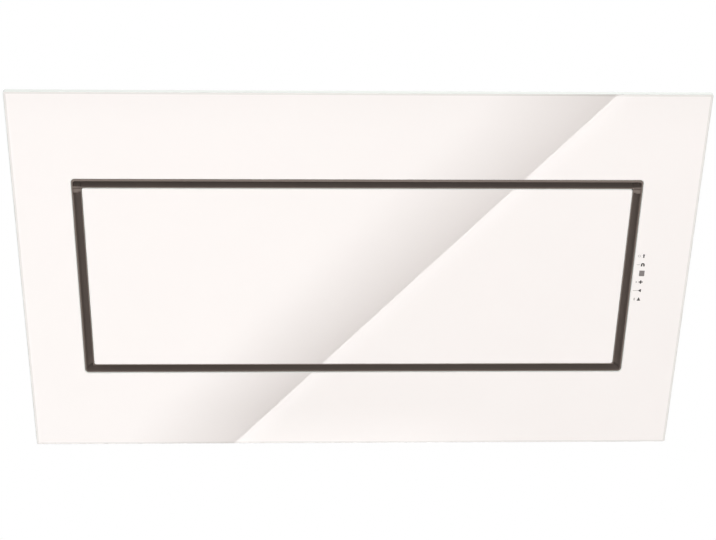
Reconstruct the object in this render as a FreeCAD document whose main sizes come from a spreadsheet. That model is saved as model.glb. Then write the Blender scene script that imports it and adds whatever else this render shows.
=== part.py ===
"""Inclined wall range hood with a perimeter intake slot round a hinged glass door.

The glass front leans out over the hob: its lower edge is near the wall and its upper edge stands forward.
Origin: centre of the four wall-fixing holes, on the wall plane. +Z is up, +X is to the right of a person
facing the hood, and the room is on the -Y side. Lengths are millimetres and angles are degrees.

Pieces of the glass front are drawn in the panel frame: x across, y up the slope from the lower edge, and
depth counted inwards from the front face of the glass.
"""

import FreeCAD
import Part
import Sketcher

import math
import os
import re

# Driving dimensions
DRIVING = {
    # Glass front
    "panel_width": 900,
    "panel_height": 545,
    "panel_tilt": 30,
    "wall_offset": 95,  # lower front edge of the glass to the wall
    "glass_thickness": 6,
    "glass_corner": 3,
    "opening_corner": 5,
    "glass_arris": 0.8,
    "side_margin": 76.35,  # fixed glass left and right of the intake opening
    "rail_margin": 122.1,  # fixed glass below the intake opening
    "head_margin": 123.1,  # fixed glass above the intake opening
    "slot_gap": 13.2,  # dark band between the fixed glass and the door glass
    "edge_recess": 1,  # dark edges lie this far behind the glass face
    "trim_lip": 1.6,  # the upper bar of the slot trim hangs this far below the liner
    "bond_thickness": 1,
    "bond_width": 18,
    "sheet": 1.2,
    "fit_gap": 0.3,
    # Carrier frame behind the fixed glass
    "carrier_inset": 12,
    "carrier_depth": 18,
    # Intake liner
    "liner_wall": 1.5,
    "liner_depth": 65,
    "liner_flange": 12,
    # Door
    "tray_depth": 18,
    "rib_width": 34,
    "rib_height": 7,
    "rib_spacing": 340,
    # Door hinges
    "hinge_spacing": 560,
    "hinge_rise": 6,
    "hinge_clearance": 3.8,
    "pin_radius": 2,
    "barrel_radius": 3.3,
    "barrel_length": 16,
    "leaf_barrel": 10,
    "leaf_length": 42,
    "leaf_sheet": 1.5,
    "strap_sheet": 2.5,
    "strap_reach": 14,
    "foot_length": 24,
    "running_gap": 0.05,
    # Door catches
    "catch_drop": 5,  # upper edge of the door pan to the middle of the catch
    "magnet_height": 9,
    "magnet_width": 6.5,
    "magnet_depth": 14,
    "keeper_height": 3.6,
    "keeper_sheet": 1.5,
    "keeper_gap": 0.6,
    # Grease filters
    "filter_gap": 5,
    "filter_thickness": 9.5,
    "filter_border": 14,
    "filter_head": 9,
    "mesh_thickness": 6,
    "window_border": 22,
    "rail_lip": 10,
    "rail_front": 3,
    "latch_width": 36,
    "latch_height": 14,
    "latch_sheet": 2,
    "tongue_width": 18,
    "tongue_reach": 6,
    "guide_sheet": 1.5,
    "thumb_height": 4.5,
    # Casing
    "casing_sheet": 1,
    "casing_side_inset": 40,
    "casing_rise": 30,  # lower edge of the glass to the casing bottom
    "casing_setback": 53.2,  # upper edge of the glass to the casing top, along the slope
    "casing_flange": 14,
    "mount_spacing_x": 600,
    "mount_spacing_z": 300,
    "mount_hole": 4.5,
    "screw_radius": 2,
    "screw_head": 4,
    "screw_head_height": 2,
    "screw_length": 8,
    # Duct outlet
    "collar_radius": 74.75,
    "collar_wall": 2,
    "collar_height": 50,
    "collar_drop": 22,
    "collar_flange": 13,
    "collar_flange_height": 2,
    "collar_wall_gap": 7,
    "flap_pin_drop": 12,
    "flap_pin_radius": 1.5,
    "flap_sheet": 1.2,
    "flap_gap": 1.8,
    "flap_barrel": 3,
    "flap_barrel_length": 30,
    "stop_length": 4,
    # Cable gland
    "gland_side_gap": 109,
    "gland_wall_gap": 45,
    "gland_bore": 4.5,
    "gland_stub": 8,
    "gland_flange": 13,
    "gland_height": 20,
    # Blower
    "blower_drop": 145,  # casing top to the impeller axis
    "blower_clearance": 5,
    "bush_length": 8,
    "bush_radius": 8,
    "scroll_wall": 1.5,
    "scroll_step": 14,  # growth of the volute in each quarter turn
    "tongue_gap": 7,
    "impeller_radius": 85,
    "impeller_eye": 70,
    "impeller_gap": 8,
    "impeller_sheet": 1.5,
    "dome_radius": 52,
    "dome_height": 48,
    "blade_count": 36,
    "blade_sheet": 1,
    "inlet_lip": 8,
    "motor_radius": 44,
    "motor_length": 38,
    "motor_sheet": 2,
    "shaft_radius": 4,
    "bearing_radius": 11,
    "bearing_width": 7,
    "stator_bore": 24,
    "rotor_gap": 0.5,
    "plenum_height": 44,
    # Electrics
    "box_width": 130,
    "box_height": 90,
    "box_depth": 46,
    "box_wall": 2,
    "box_side_gap": 36,
    "board_sheet": 1.6,
    "capacitor_radius": 18,
    "capacitor_length": 62,
    "driver_width": 120,
    "driver_height": 26,
    "driver_depth": 30,
    "touch_width": 25,
    "touch_height": 100,
    "touch_rise": 4,  # middle of the keys above the middle of the glass
    "touch_depth": 12,
    "touch_wall": 1.5,
    # Lamps
    "lamp_spacing": 540,
    "lamp_wall_gap": 52,  # lamp axis to the wall
    "lamp_radius": 23.5,
    "lamp_flange": 3.5,
    "lamp_height": 18,
    "lamp_wall": 2,
    "lens_thickness": 2.5,
}

# Derived sizes, written with the driving names
DERIVED = {
    "panel_half": "panel_width/2",
    "casing_reach": "(panel_height - casing_setback)*cos(panel_tilt) + plate_back*sin(panel_tilt)",
    "foot_z": "-(casing_rise + casing_reach)/2",
    "opening_half": "panel_width/2 - side_margin",
    "opening_low": "rail_margin",
    "opening_high": "panel_height - head_margin",
    "door_half": "opening_half - slot_gap",
    "door_low": "opening_low + slot_gap",
    "door_high": "opening_high - slot_gap",
    "plate_front": "glass_thickness + bond_thickness",
    "plate_back": "plate_front + sheet",
    "carrier_half": "panel_half - carrier_inset",
    "carrier_high": "panel_height - carrier_inset",
    "liner_outer": "opening_half - fit_gap",
    "liner_inner": "liner_outer - liner_wall",
    "liner_low": "opening_low + fit_gap",
    "liner_floor": "liner_low + liner_wall",
    "liner_high": "opening_high - fit_gap",
    "liner_ceiling": "liner_high - liner_wall",
    "tray_half": "door_half + fit_gap + sheet",
    "tray_low": "door_low - fit_gap - sheet",
    "tray_high": "door_high + fit_gap + sheet",
    "hinge_v": "tray_low + hinge_rise",
    "hinge_depth": "plate_back + hinge_clearance",
    "hinge_end": "barrel_length/2 + fit_gap + leaf_barrel",
    "filter_back": "liner_depth - fit_gap",
    "filter_front": "filter_back - filter_thickness",
    "rail_floor": "liner_floor + sheet",
    "rail_ceiling": "liner_ceiling - sheet",
    "filter_low": "rail_floor + fit_gap",
    "filter_high": "rail_ceiling - filter_head",
    "filter_width": "liner_inner - 1.5*filter_gap",
    "latch_back": "filter_front - fit_gap",
    "latch_front": "latch_back - latch_sheet",
    "latch_high": "filter_high - 2*fit_gap",
    "guide_high": "rail_ceiling - rail_lip - 2*fit_gap",
    "partition_back": "liner_depth + sheet",
    "partition_low": "opening_low - liner_flange - sheet",
    "casing_half": "panel_half - casing_side_inset",
    "casing_inner": "casing_half - casing_sheet",
    "casing_low": "foot_z + casing_rise",
    "casing_high": "foot_z + casing_reach",
    "floor_high": "foot_z + partition_low*cos(panel_tilt) + liner_depth*sin(panel_tilt)",
    "collar_inner": "collar_radius - collar_wall",
    "collar_y": "-(collar_radius + collar_flange + collar_wall_gap)",
    "flap_radius": "collar_inner - flap_gap",
    "flap_z": "casing_high - flap_pin_drop",
    "blower_z": "casing_high - blower_drop",
    "scroll_start": "impeller_radius + tongue_gap",
    "scroll_end": "scroll_start + 2*scroll_step",
    "outlet_width": "scroll_step + scroll_end",
    "blower_x": "-outlet_width/2",
    "scroll_low": "blower_z - scroll_start - scroll_step - scroll_wall",
    "scroll_back": "casing_sheet + bush_length",
    "scroll_top": "casing_high - casing_sheet - plenum_height",
    "impeller_back": "scroll_back + scroll_wall + impeller_gap",
    "plenum_half": "collar_radius + 2*sheet",
    "gland_x": "casing_inner - gland_side_gap",
    "lamp_x": "lamp_spacing/2",
    "lamp_y": "-lamp_wall_gap",
    "hinge_x": "hinge_spacing/2",
    "rib_x": "rib_spacing/2",
    "touch_centre": "panel_height/2 + touch_rise",
    "touch_side": "opening_half + fit_gap",
}

doc = FreeCAD.newDocument("wall_range_hood")
dims = doc.addObject("Spreadsheet::Sheet", "Dims")
for row, (alias, number) in enumerate(DRIVING.items(), start=1):
    dims.set(f"A{row}", str(number))
    dims.setAlias(f"A{row}", alias)
doc.recompute()

PIECES = []
WORD = re.compile(r"[a-z][a-z_0-9]*")


# Expressions


def expr(text):
    """Spells out a formula of driving and derived names as a document expression."""

    def spell(match):
        word = match.group()
        if word in DERIVED:
            return f"({WORD.sub(spell, DERIVED[word])})"
        return f"Dims.{word}" if word in DRIVING else word

    return WORD.sub(spell, str(text))


def value(text):
    """The number that a formula gives now."""
    return float(dims.evalExpression(expr(text)))


def slope_y(depth, z):
    """Y of the point at height z that lies depth behind the glass face."""
    return f"(-wall_offset + (({depth}) - (({z}) - foot_z)*sin(panel_tilt))/cos(panel_tilt))"


def slope_v(depth, z):
    """Distance up the slope of the point at height z that lies depth behind the glass face."""
    return f"((({z}) - foot_z - ({depth})*sin(panel_tilt))/cos(panel_tilt))"


DERIVED["scroll_depth"] = f"-({slope_y('partition_back', 'scroll_low')}) - blower_clearance - scroll_back"
DERIVED["scroll_front"] = "scroll_back + scroll_depth"
DERIVED["impeller_length"] = "scroll_depth - 2*scroll_wall - impeller_gap - inlet_lip - 2*fit_gap"


# Building blocks


def bind(obj, prop, text):
    obj.setExpression(prop, expr(text))


def place(obj, x="0", y="0", z="0", turn="0", axis="1; 0; 0"):
    """Binds where an object stands and how far it is turned about an axis."""
    bind(obj, "Placement", f"placement(vector({x}; {y}; {z}); rotation(vector({axis}); {turn}))")
    return obj


def lay_on_panel(obj):
    """Carries an object from the panel frame to the leaning glass front."""
    return place(obj, "0", "-wall_offset", "foot_z", "90 + panel_tilt")


def piece(obj, label):
    """Registers an object as one sub-part, under the name of its file."""
    obj.Label = label
    PIECES.append(obj)
    return obj


def rectangle(left, right, low, high):
    return [(left, low), (right, low), (right, high), (left, high)]


def circle(x, y, radius):
    return {"x": x, "y": y, "radius": radius}


def pin_point(sketch, geometry, vertex, x, y):
    """Ties a sketch point to its two coordinates."""
    for kind, text in (("DistanceX", x), ("DistanceY", y)):
        number = value(text)
        index = sketch.addConstraint(Sketcher.Constraint(kind, -1, 1, geometry, vertex, number))
        bind(sketch, f"Constraints[{index}]", text)


def draw(sketch, loop):
    """Adds one closed loop, a polygon or a circle, with every size bound to the sheet."""
    first = sketch.GeometryCount
    if isinstance(loop, dict):
        centre = FreeCAD.Vector(value(loop["x"]), value(loop["y"]), 0)
        sketch.addGeometry(Part.Circle(centre, FreeCAD.Vector(0, 0, 1), value(loop["radius"])))
        pin_point(sketch, first, 3, loop["x"], loop["y"])
        index = sketch.addConstraint(Sketcher.Constraint("Radius", first, value(loop["radius"])))
        bind(sketch, f"Constraints[{index}]", loop["radius"])
        return
    corners = [FreeCAD.Vector(value(x), value(y), 0) for x, y in loop]
    count = len(corners)
    for i, corner in enumerate(corners):
        sketch.addGeometry(Part.LineSegment(corner, corners[(i + 1) % count]))
    for i, (x, y) in enumerate(loop):
        after = first + (i + 1) % count
        sketch.addConstraint(Sketcher.Constraint("Coincident", first + i, 2, after, 1))
        pin_point(sketch, first + i, 1, x, y)


def sketch_in(body, plane, loops, start, leaning=False):
    """A sketch on one of the body's planes, moved to where its slab starts.

    start counts down from XY_Plane, towards -Y from XZ_Plane, and towards +X from YZ_Plane.
    A leaning sketch lies in the panel frame instead, start behind the glass face.
    """
    sketch = body.newObject("Sketcher::SketchObject", f"{body.Name}_outline")
    planes = {feature.Role: feature for feature in body.Origin.OriginFeatures}
    sketch.AttachmentSupport = [(planes[plane], "")]
    sketch.MapMode = "FlatFace"
    if leaning:
        y = f"-wall_offset + ({start})*cos(panel_tilt)"
        z = f"foot_z + ({start})*sin(panel_tilt)"
        turned = f"placement(vector(0; {y}; {z}); rotation(vector(1; 0; 0); 90 + panel_tilt))"
        bind(sketch, "AttachmentOffset", turned)
    else:
        sign = "-" if plane == "XY_Plane" else ""
        bind(sketch, "AttachmentOffset.Base.z", f"{sign}({start})")
    for loop in loops:
        draw(sketch, loop)
    return sketch


def slab(body, plane, loops, start, thickness, leaning=False):
    """Pads an outline from its start through a thickness, the way that start counts."""
    pad = body.newObject("PartDesign::Pad", f"{body.Name}_pad")
    pad.Profile = sketch_in(body, plane, loops, start, leaning)
    bind(pad, "Length", thickness)
    pad.Reversed = plane == "XY_Plane"
    body.Tip = pad
    return pad


def cut(body, plane, loops, start, thickness):
    """Cuts an outline out of the body, from its start through a thickness."""
    pocket = body.newObject("PartDesign::Pocket", f"{body.Name}_pocket")
    pocket.Profile = sketch_in(body, plane, loops, start)
    bind(pocket, "Length", thickness)
    pocket.Reversed = plane != "XY_Plane"
    body.Tip = pocket
    return pocket


def bare_body(name):
    """A body that is only one member of a group."""
    return doc.addObject("PartDesign::Body", name)


def new_body(label):
    return piece(bare_body(label), label)


def block(name, x, y, z):
    """A box between low and high limits on each axis."""
    box = doc.addObject("Part::Box", name)
    for prop, (low, high) in zip(("Length", "Width", "Height"), (x, y, z)):
        bind(box, prop, f"({high}) - ({low})")
    return place(box, x[0], y[0], z[0])


def rod(name, radius, length, x="0", y="0", z="0", along="z"):
    """A round bar from a point along +Z, along -Y (out from the wall) or along +X."""
    bar = doc.addObject("Part::Cylinder", name)
    bind(bar, "Radius", radius)
    bind(bar, "Height", length)
    turn, axis = {"z": ("0", "1; 0; 0"), "y": ("90", "1; 0; 0"), "x": ("90", "0; 1; 0")}[along]
    return place(bar, x, y, z, turn, axis)


def joined(name, parts):
    whole = doc.addObject("Part::MultiFuse", name)
    whole.Shapes = parts
    return whole


def less(name, base, tool):
    rest = doc.addObject("Part::Cut", name)
    rest.Base = base
    rest.Tool = tool
    return rest


def tube(name, outer, inner, length, x="0", y="0", z="0", along="z"):
    shell = rod(f"{name}_outside", outer, length, x, y, z, along)
    return less(name, shell, rod(f"{name}_bore", inner, length, x, y, z, along))


def group(label, parts):
    """Like pieces that share one name, as separate solids."""
    bundle = doc.addObject("Part::Compound", label)
    bundle.Links = parts
    return piece(bundle, label)


SIDES = (("left", "-1"), ("right", "1"))


def mirrored_pair(build):
    """Builds a left and a right piece: the side's name and the sign of its x."""
    return [build(side, sign) for side, sign in SIDES]


# Glass front


def rounded(body, base, reach, radius):
    """Rounds the upright edges of a plate that stand at a distance from its middle line."""
    doc.recompute()
    far = value(reach)
    corners = [
        f"Edge{i}"
        for i, edge in enumerate(base.Shape.Edges, start=1)
        if all(abs(abs(v.X) - far) < 1e-6 for v in edge.Vertexes)
        and abs(edge.Vertexes[0].Z - edge.Vertexes[1].Z) > 1e-6
    ]
    fillet = body.newObject("PartDesign::Fillet", f"{body.Name}_corners")
    fillet.Base = (base, corners)
    bind(fillet, "Radius", radius)
    body.Tip = fillet
    return fillet


def glass_pane(label, loops, corners):
    """A pane of toughened glass with rounded corners and a ground arris along its front edges."""
    pane = new_body(label)
    plate = slab(pane, "XY_Plane", loops, "0", "glass_thickness")
    for reach, radius in corners:
        plate = rounded(pane, plate, reach, radius)
    doc.recompute()
    front = [
        f"Edge{i}"
        for i, edge in enumerate(plate.Shape.Edges, start=1)
        if all(abs(v.Z) < 1e-6 for v in edge.Vertexes)
    ]
    chamfer = pane.newObject("PartDesign::Chamfer", f"{label}_arris")
    chamfer.Base = (plate, front)
    bind(chamfer, "Size", "glass_arris")
    pane.Tip = chamfer
    lay_on_panel(pane)


def outer_glass():
    sheet_edge = rectangle("-panel_half", "panel_half", "0", "panel_height")
    opening = rectangle("-opening_half", "opening_half", "opening_low", "opening_high")
    corners = (("panel_half", "glass_corner"), ("opening_half", "opening_corner"))
    glass_pane("outer_glass", [sheet_edge, opening], corners)


def door_glass():
    sheet_edge = rectangle("-door_half", "door_half", "door_low", "door_high")
    glass_pane("door_glass", [sheet_edge], [("door_half", "glass_corner")])


def slot_trim():
    """Dark trim ring that covers the edge of the glass all round the intake opening."""
    trim = new_body("slot_trim")
    outside = rectangle("-liner_outer", "liner_outer", "liner_low", "liner_high")
    inside = rectangle("-liner_inner", "liner_inner", "liner_floor", "liner_ceiling - trim_lip")
    ring = slab(trim, "XY_Plane", [outside, inside], "edge_recess", "plate_front - edge_recess")
    ring = rounded(trim, ring, "liner_outer", "opening_corner - fit_gap")
    rounded(trim, ring, "liner_inner", "opening_corner - fit_gap - liner_wall")
    lay_on_panel(trim)


def strips(label, limits):
    """Bonding strips in the thin space behind a pane."""
    depth = ("-plate_front", "-glass_thickness")
    group(label, [block(f"{label}_strip", x, y, depth) for x, y in limits])
    lay_on_panel(PIECES[-1])


def glass_bonding_strips():
    rail = ("-carrier_half + bond_width", "carrier_half - bond_width")
    low = ("rail_margin/2 - bond_width/2", "rail_margin/2 + bond_width/2")
    high = tuple(f"panel_height - head_margin/2 {half}" for half in ("- bond_width/2", "+ bond_width/2"))
    stile = ("opening_low", "opening_high")
    inner = "carrier_half - sheet - bond_width"
    outer = "carrier_half - sheet"
    strips(
        "glass_bonding_strips",
        [(rail, low), (rail, high), ((inner, outer), stile), ((f"-({outer})", f"-({inner})"), stile)],
    )


def carrier_frame():
    """Folded steel frame that the fixed glass is bonded to, with a notch for the touch unit."""
    frame = new_body("carrier_frame")
    edge = rectangle("-carrier_half", "carrier_half", "carrier_inset", "carrier_high")
    notch_low = "touch_centre - touch_height/2 - fit_gap"
    notch_high = "touch_centre + touch_height/2 + fit_gap"
    notch_side = "touch_side + touch_width + fit_gap"
    opening = [
        ("-opening_half", "opening_low"),
        ("opening_half", "opening_low"),
        ("opening_half", notch_low),
        (notch_side, notch_low),
        (notch_side, notch_high),
        ("opening_half", notch_high),
        ("opening_half", "opening_high"),
        ("-opening_half", "opening_high"),
    ]
    slab(frame, "XY_Plane", [edge, opening], "plate_front", "sheet")
    inside = rectangle(
        "-carrier_half + sheet", "carrier_half - sheet", "carrier_inset + sheet", "carrier_high - sheet"
    )
    slab(frame, "XY_Plane", [edge, inside], "plate_front", "carrier_depth")
    lay_on_panel(frame)


# Intake liner behind the trim: four dark angle bars, the upper and lower ones running through


def liner_rails():
    start, run = "-liner_outer", "2*liner_outer"
    flange_front = "-(liner_depth - liner_wall)"
    for label, wall, edge, out in (
        ("liner_top", "liner_ceiling", "liner_high", "liner_high + liner_flange"),
        ("liner_bottom", "liner_floor", "liner_low", "liner_low - liner_flange"),
    ):
        bar = new_body(label)
        section = [
            (wall, "-plate_front"),
            (wall, "-liner_depth"),
            (out, "-liner_depth"),
            (out, flange_front),
            (edge, flange_front),
            (edge, "-plate_front"),
        ]
        slab(bar, "YZ_Plane", [section], start, run)
        lay_on_panel(bar)


def liner_stile(side, sign):
    bar = new_body(f"liner_{side}")
    flange_front = "-(liner_depth - liner_wall)"
    section = [
        (f"{sign}*liner_inner", "-plate_front"),
        (f"{sign}*liner_inner", "-liner_depth"),
        (f"{sign}*(liner_outer + liner_flange)", "-liner_depth"),
        (f"{sign}*(liner_outer + liner_flange)", flange_front),
        (f"{sign}*liner_outer", flange_front),
        (f"{sign}*liner_outer", "-plate_front"),
    ]
    slab(bar, "XZ_Plane", [section], "-liner_ceiling", "liner_ceiling - liner_floor")
    lay_on_panel(bar)


def filter_partition():
    """Plate behind the filters, with a window for each of them."""
    plate = new_body("filter_partition")
    top = slope_v("partition_back", "casing_high - casing_sheet")
    loops = [rectangle("-casing_inner", "casing_inner", "partition_low", top)]
    for sign in ("-1", "1"):
        near = f"{sign}*(filter_gap/2 + window_border)"
        far = f"{sign}*(filter_gap/2 + filter_width - window_border)"
        loops.append(rectangle(near, far, "filter_low + window_border", "filter_high - window_border"))
    slab(plate, "XY_Plane", loops, "liner_depth", "sheet")
    lay_on_panel(plate)


# Grease filters


def filter_rails():
    """Lower channel that the filters stand in, and upper lip that their latches catch behind."""
    across = ("-liner_inner", "liner_inner")
    lip_back = "filter_front - rail_front"
    lip_front = "filter_front - rail_front - sheet"
    for label, seat, edge, tip in (
        ("filter_rail_bottom", "liner_floor", "rail_floor", "rail_floor + rail_lip"),
        ("filter_rail_top", "liner_ceiling", "rail_ceiling", "rail_ceiling - rail_lip"),
    ):
        bar = new_body(label)
        section = [
            (seat, "-liner_depth"),
            (seat, f"-({lip_front})"),
            (tip, f"-({lip_front})"),
            (tip, f"-({lip_back})"),
            (edge, f"-({lip_back})"),
            (edge, "-liner_depth"),
        ]
        slab(bar, "YZ_Plane", [section], across[0], f"({across[1]}) - ({across[0]})")
        lay_on_panel(bar)


def grease_filter(side, sign):
    near = f"{sign}*filter_gap/2"
    far = f"{sign}*(filter_gap/2 + filter_width)"
    frame = new_body(f"filter_frame_{side}")
    inner_near = f"{sign}*(filter_gap/2 + filter_border)"
    inner_far = f"{sign}*(filter_gap/2 + filter_width - filter_border)"
    border = rectangle(near, far, "filter_low", "filter_high")
    window = rectangle(inner_near, inner_far, "filter_low + filter_border", "filter_high - filter_border")
    slab(frame, "XY_Plane", [border, window], "filter_front", "filter_thickness")
    lay_on_panel(frame)
    mesh = new_body(f"filter_mesh_{side}")
    middle = "filter_front + (filter_thickness - mesh_thickness)/2"
    slab(mesh, "XY_Plane", [window], middle, "mesh_thickness")
    lay_on_panel(mesh)


def filter_middle(sign):
    return f"{sign}*(filter_gap/2 + filter_width/2)"


def filter_latch(side, sign):
    """Sliding latch with a tongue that catches behind the upper rail, and a thumb pad."""
    latch = new_body(f"filter_latch_{side}")
    middle = filter_middle(sign)
    shoulder = "latch_high - latch_height"
    tip = "filter_high + tongue_reach"
    plate = [
        (f"{middle} - latch_width/2", shoulder),
        (f"{middle} + latch_width/2", shoulder),
        (f"{middle} + latch_width/2", "latch_high"),
        (f"{middle} + tongue_width/2", "latch_high"),
        (f"{middle} + tongue_width/2", tip),
        (f"{middle} - tongue_width/2", tip),
        (f"{middle} - tongue_width/2", "latch_high"),
        (f"{middle} - latch_width/2", "latch_high"),
    ]
    slab(latch, "XY_Plane", [plate], "latch_front", "latch_sheet")
    pad = rectangle(
        f"{middle} - tongue_width/2",
        f"{middle} + tongue_width/2",
        f"{shoulder} + guide_sheet",
        f"{shoulder} + latch_height/2",
    )
    slab(latch, "XY_Plane", [pad], "latch_front - thumb_height", "thumb_height + latch_sheet/2")
    lay_on_panel(latch)


def latch_guides():
    """A strap over each latch, standing on the filter's upper bar."""
    straps = []
    for side, sign in SIDES:
        middle = filter_middle(sign)
        inner = "latch_width/2 + fit_gap"
        outer = "latch_width/2 + fit_gap + 3*guide_sheet"
        height = ("guide_high - 3*guide_sheet", "guide_high")
        over = ("-(latch_front - fit_gap)", "-(latch_front - fit_gap - guide_sheet)")
        leg = ("-filter_front", over[0])
        bridge = block(f"guide_bridge_{side}", (f"{middle} - ({outer})", f"{middle} + {outer}"), height, over)
        left = block(f"guide_foot_{side}", (f"{middle} - ({outer})", f"{middle} - ({inner})"), height, leg)
        right = block(f"guide_heel_{side}", (f"{middle} + {inner}", f"{middle} + {outer}"), height, leg)
        straps.append(joined(f"guide_{side}", [bridge, left, right]))
    lay_on_panel(group("latch_guides", straps))


# Door


def door_tray():
    """Dark steel pan that wraps the edge of the door glass, notched for the hinge straps."""
    tray = new_body("door_tray")
    edge = rectangle("-tray_half", "tray_half", "tray_low", "tray_high")
    inside = rectangle(
        "-tray_half + sheet", "tray_half - sheet", "tray_low + sheet", "tray_high - sheet"
    )
    slab(tray, "XY_Plane", [edge], "plate_front", "sheet")
    slab(tray, "XY_Plane", [edge, inside], "edge_recess", "tray_depth - edge_recess")
    notch = "barrel_length/2 + leaf_sheet"
    notches = [
        rectangle(
            f"{sign}*hinge_x - ({notch})",
            f"{sign}*hinge_x + ({notch})",
            "tray_low - sheet",
            "tray_low + 2*sheet",
        )
        for sign in ("-1", "1")
    ]
    cut(tray, "XY_Plane", notches, "plate_back", "tray_depth")
    lay_on_panel(tray)


def door_bonding_strips():
    run = ("-door_half + bond_width", "door_half - bond_width")
    bands = []
    for height in ("door_low + bond_width", "(door_low + door_high)/2", "door_high - bond_width"):
        bands.append((run, (f"{height} - bond_width/2", f"{height} + bond_width/2")))
    strips("door_bonding_strips", bands)


def door_ribs():
    """Two upright hat ribs that stiffen the door pan."""
    ribs = []
    for name, sign in (("rib_left", "-1"), ("rib_right", "1")):
        middle = f"{sign}*rib_x"
        rib = doc.addObject("PartDesign::Body", name)
        half, crown = "rib_width/2", "rib_width/4"
        low = "-plate_back"
        high = "-(plate_back + rib_height)"
        section = [
            (f"{middle} - {half}", low),
            (f"{middle} - {half}", f"{low} - sheet"),
            (f"{middle} - {crown} - sheet", f"{low} - sheet"),
            (f"{middle} - {crown}", high),
            (f"{middle} + {crown}", high),
            (f"{middle} + {crown} + sheet", f"{low} - sheet"),
            (f"{middle} + {half}", f"{low} - sheet"),
            (f"{middle} + {half}", low),
            (f"{middle} + {crown}", low),
            (f"{middle} + {crown} - sheet", f"{high} + sheet"),
            (f"{middle} - {crown} + sheet", f"{high} + sheet"),
            (f"{middle} - {crown}", low),
        ]
        run = "tray_high - tray_low - 2*bond_width"
        slab(rib, "XZ_Plane", [section], "-(tray_high - bond_width)", run)
        ribs.append(rib)
    lay_on_panel(group("door_ribs", ribs))


def hinge_base(side, sign):
    """Fixed half of a hinge: a cranked strap on the lower liner bar, with a barrel at its end."""
    base = bare_body(f"hinge_base_{side}")
    start = f"{sign}*hinge_x - barrel_length/2"
    half = "strap_sheet/2"
    back = "hinge_depth + strap_reach"
    seat = "liner_floor"
    strap = [
        (f"hinge_v - {half}", "-hinge_depth"),
        (f"hinge_v - {half}", f"-({back})"),
        (seat, f"-({back})"),
        (seat, f"-({back} + foot_length)"),
        (f"{seat} + strap_sheet", f"-({back} + foot_length)"),
        (f"{seat} + strap_sheet", f"-({back} + strap_sheet)"),
        (f"hinge_v + {half}", f"-({back} + strap_sheet)"),
        (f"hinge_v + {half}", "-hinge_depth"),
    ]
    slab(base, "YZ_Plane", [strap], start, "barrel_length")
    slab(base, "YZ_Plane", [circle("hinge_v", "-hinge_depth", "barrel_radius")], start, "barrel_length")
    bore = circle("hinge_v", "-hinge_depth", "pin_radius + running_gap/2")
    cut(base, "YZ_Plane", [bore], f"{start} - fit_gap", "barrel_length + 2*fit_gap")
    return base


def hinge_leaf(side, sign):
    """Moving half of a hinge: a leaf on the door pan with a barrel each side of the fixed one."""
    leaf = bare_body(f"hinge_leaf_{side}")
    middle = f"{sign}*hinge_x"
    clear = "hinge_v + barrel_radius + sheet"
    blade = rectangle(f"{middle} - (hinge_end)", f"{middle} + hinge_end", clear, "hinge_v + leaf_length")
    slab(leaf, "XY_Plane", [blade], "plate_back", "leaf_sheet")
    for start in (f"{middle} - (hinge_end)", f"{middle} + barrel_length/2 + fit_gap"):
        web = rectangle("hinge_v", f"{clear} + leaf_sheet", "-(plate_back + leaf_sheet)", "-plate_back")
        slab(leaf, "YZ_Plane", [web], start, "leaf_barrel")
        slab(leaf, "YZ_Plane", [circle("hinge_v", "-hinge_depth", "barrel_radius")], start, "leaf_barrel")
    bore = circle("hinge_v", "-hinge_depth", "pin_radius + running_gap")
    cut(leaf, "YZ_Plane", [bore], f"{middle} - (hinge_end) - fit_gap", "2*(hinge_end + fit_gap)")
    return leaf


def hinge_pins():
    pins = [
        rod(f"pin_{side}", "pin_radius", "2*hinge_end", f"{sign}*hinge_x - (hinge_end)", "hinge_v",
            "-hinge_depth", "x")
        for side, sign in (("left", "-1"), ("right", "1"))
    ]
    lay_on_panel(group("hinge_pins", pins))


def door_catches():
    """Steel keepers on the door, at the mouth of the slot, and magnets on the liner behind them."""
    middle = "tray_high - catch_drop"
    front = "edge_recess + keeper_gap"
    back = f"{front} + keeper_sheet"
    seat = f"{back} + fit_gap"
    keeper_v = (f"{middle} - keeper_height/2", f"{middle} + keeper_height/2")
    magnet_v = (f"{middle} - magnet_height/2", f"{middle} + magnet_height/2")
    keepers, magnets = [], []
    for side, sign in SIDES:
        tab = ["tray_half", "liner_inner - keeper_gap"]
        can = ["liner_inner - magnet_width", "liner_inner"]
        if side == "left":
            tab = [f"-({limit})" for limit in reversed(tab)]
            can = [f"-({limit})" for limit in reversed(can)]
        keepers.append(block(f"keeper_{side}", tab, keeper_v, (f"-({back})", f"-({front})")))
        magnets.append(block(f"magnet_{side}", can, magnet_v, (f"-({seat} + magnet_depth)", f"-({seat})")))
    lay_on_panel(group("catch_keepers", keepers))
    lay_on_panel(group("catch_magnets", magnets))


# Casing behind the glass


def casing_back():
    plate = new_body("casing_back")
    loops = [rectangle("-casing_half", "casing_half", "casing_low", "casing_high")]
    for sx in ("-1", "1"):
        for sz in ("-1", "1"):
            loops.append(circle(f"{sx}*mount_spacing_x/2", f"{sz}*mount_spacing_z/2", "mount_hole"))
    slab(plate, "XZ_Plane", loops, "0", "casing_sheet")


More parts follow.
